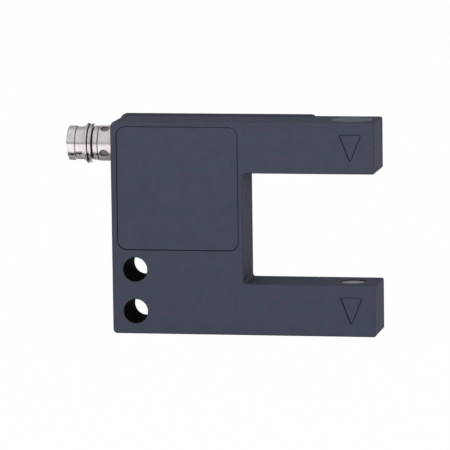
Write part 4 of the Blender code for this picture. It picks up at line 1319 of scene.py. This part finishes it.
stage = {
    "floorSize": 8.0,
    "floorColour": rgb(0.86, 0.86, 0.86),
    "floorGlow": 0.992,
    "floorDrop": 0.05 * mm,
    "roughness": 0.9,
}
# The cards' edges are in millimetres
# Sheets that put painted shade into the connector's reflections: black in front, grey behind
cards = {
    "black": {"x": (-60.0, -31.0), "y": (-27.0, -3.0), "colour": rgb(0.02, 0.018, 0.02)},
    "grey": {"x": (-60.0, -31.0), "y": (0.0, 150.0), "colour": rgb(0.42, 0.41, 0.42)},
}
sky = {
    "colour": rgb(0.97, 0.98, 1.0),
    "horizon": 0.04,
    "zenith": 0.66,
    "rise": (0.08, 0.16),
    "behind": 0.50,
}
lamps = {
    "key": {"place": (0.40, -0.65, 0.38), "size": 0.35, "power": 2.1, "colour": (1.0, 0.99, 0.98)},
    "fill": {"place": (-0.20, -0.75, 0.20), "size": 0.50, "power": 1.2, "colour": (0.97, 0.98, 1.0)},
}
camera = {
    "azimuth": 10.605,
    "elevation": 7.744,
    "roll": -0.767,
    "distance": 1.0,
    "aim": (-5.2 * mm, 0.0, 24.09 * mm),
    "lens": 354.29,
    "sensor": 36.0,
}


# Nearly white to the camera and in reflections, and a plain pale floor to every other ray
def makeFloor():
    finish = Finish("paleFloor", {"Base Color": stage["floorColour"], "Roughness": stage["roughness"],
                                  "Specular IOR Level": 0.1})
    glow = finish.node("ShaderNodeEmission", None, {"Color": rgb(1.0, 1.0, 1.0), "Strength": 1.0})
    factor = finish.seenBy("Camera", "Glossy", "Transmission") * stage["floorGlow"]
    mixed = finish.node("ShaderNodeMixShader", None, {0: factor, 1: finish.surface, 2: glow})
    finish.connect(finish.output.inputs["Surface"], mixed)
    bm = bmesh.new()
    bmesh.ops.create_grid(bm, x_segments=4, y_segments=4, size=stage["floorSize"] / 2)
    floor = toObject("floor", bm, Matrix.Translation((0.0, 0.0, bottom - stage["floorDrop"])))
    floor.data.materials.append(finish.material)


# Cards on the floor below the connector, seen only in its reflections, where they put painted shade
def makeCards():
    for name, facts in cards.items():
        bm = bmesh.new()
        (x0, x1), (y0, y1) = facts["x"], facts["y"]
        outline = ((x0, y0), (x1, y0), (x1, y1), (x0, y1))
        bm.faces.new([bm.verts.new((x * mm, y * mm, bottom)) for x, y in outline])
        card = toObject(f"{name}Card", bm)
        paper = Finish(f"{name}Card", {"Base Color": facts["colour"], "Roughness": stage["roughness"]})
        card.data.materials.append(paper.material)
        card.visible_camera = False
        card.visible_diffuse = False
        card.visible_shadow = False


# White to the camera. As light it is dim at the horizon and bright overhead.
def makeWorld():
    world = bpy.data.worlds.new("softWorld")
    world.use_nodes = True
    nodes = Nodes(world.node_tree)
    x, y, z = nodes.split(nodes.node("ShaderNodeTexCoord", out="Generated"))
    dimming = 1.0 - (1.0 - sky["behind"]) * y.smoothstep(0.0, 0.7)
    strength = sky["horizon"] + (sky["zenith"] - sky["horizon"]) * z.smoothstep(*sky["rise"]) * dimming
    light = nodes.node("ShaderNodeBackground", None, {"Color": sky["colour"], "Strength": strength})
    white = nodes.node("ShaderNodeBackground", None, {"Color": rgb(1.0, 1.0, 1.0)})
    seen = nodes.seenBy("Camera", "Transmission")
    mixed = nodes.node("ShaderNodeMixShader", None, {0: seen, 1: light, 2: white})
    nodes.make("ShaderNodeOutputWorld", None, {"Surface": mixed})
    bpy.context.scene.world = world


def makeLamps():
    for name, facts in lamps.items():
        data = bpy.data.lights.new(f"{name}Lamp", "AREA")
        data.shape = "SQUARE"
        data.size = facts["size"]
        data.energy = facts["power"]
        data.color = facts["colour"]
        lamp = bpy.data.objects.new(f"{name}Lamp", data)
        lamp.location = facts["place"]
        aim = Vector(camera["aim"]) - Vector(facts["place"])
        lamp.rotation_euler = aim.to_track_quat("-Z", "Y").to_euler()
        lamp.visible_camera = False
        lamp.visible_glossy = False
        bpy.context.scene.collection.objects.link(lamp)


def makeCamera():
    azimuth = math.radians(camera["azimuth"])
    elevation = math.radians(camera["elevation"])
    roll = math.radians(camera["roll"])
    outward = Vector((math.sin(azimuth) * math.cos(elevation), -math.cos(azimuth) * math.cos(elevation),
                      math.sin(elevation)))
    level = Vector((math.cos(azimuth), math.sin(azimuth), 0.0))
    upward = outward.cross(level)
    right = level * math.cos(roll) + upward * math.sin(roll)
    up = upward * math.cos(roll) - level * math.sin(roll)
    data = bpy.data.cameras.new("photoCamera")
    data.lens = camera["lens"]
    data.sensor_width = camera["sensor"]
    data.clip_start = 0.01
    data.clip_end = 20.0
    viewer = bpy.data.objects.new("photoCamera", data)
    turn = Matrix((right, up, outward)).transposed()
    place = Vector(camera["aim"]) + outward * camera["distance"]
    viewer.matrix_world = Matrix.Translation(place) @ turn.to_4x4()
    bpy.context.scene.collection.objects.link(viewer)
    bpy.context.scene.camera = viewer


print("stage, light and camera")
makeFloor()
makeCards()
makeWorld()
makeLamps()
makeCamera()
bpy.context.scene.view_settings.view_transform = "Standard"

print("done")
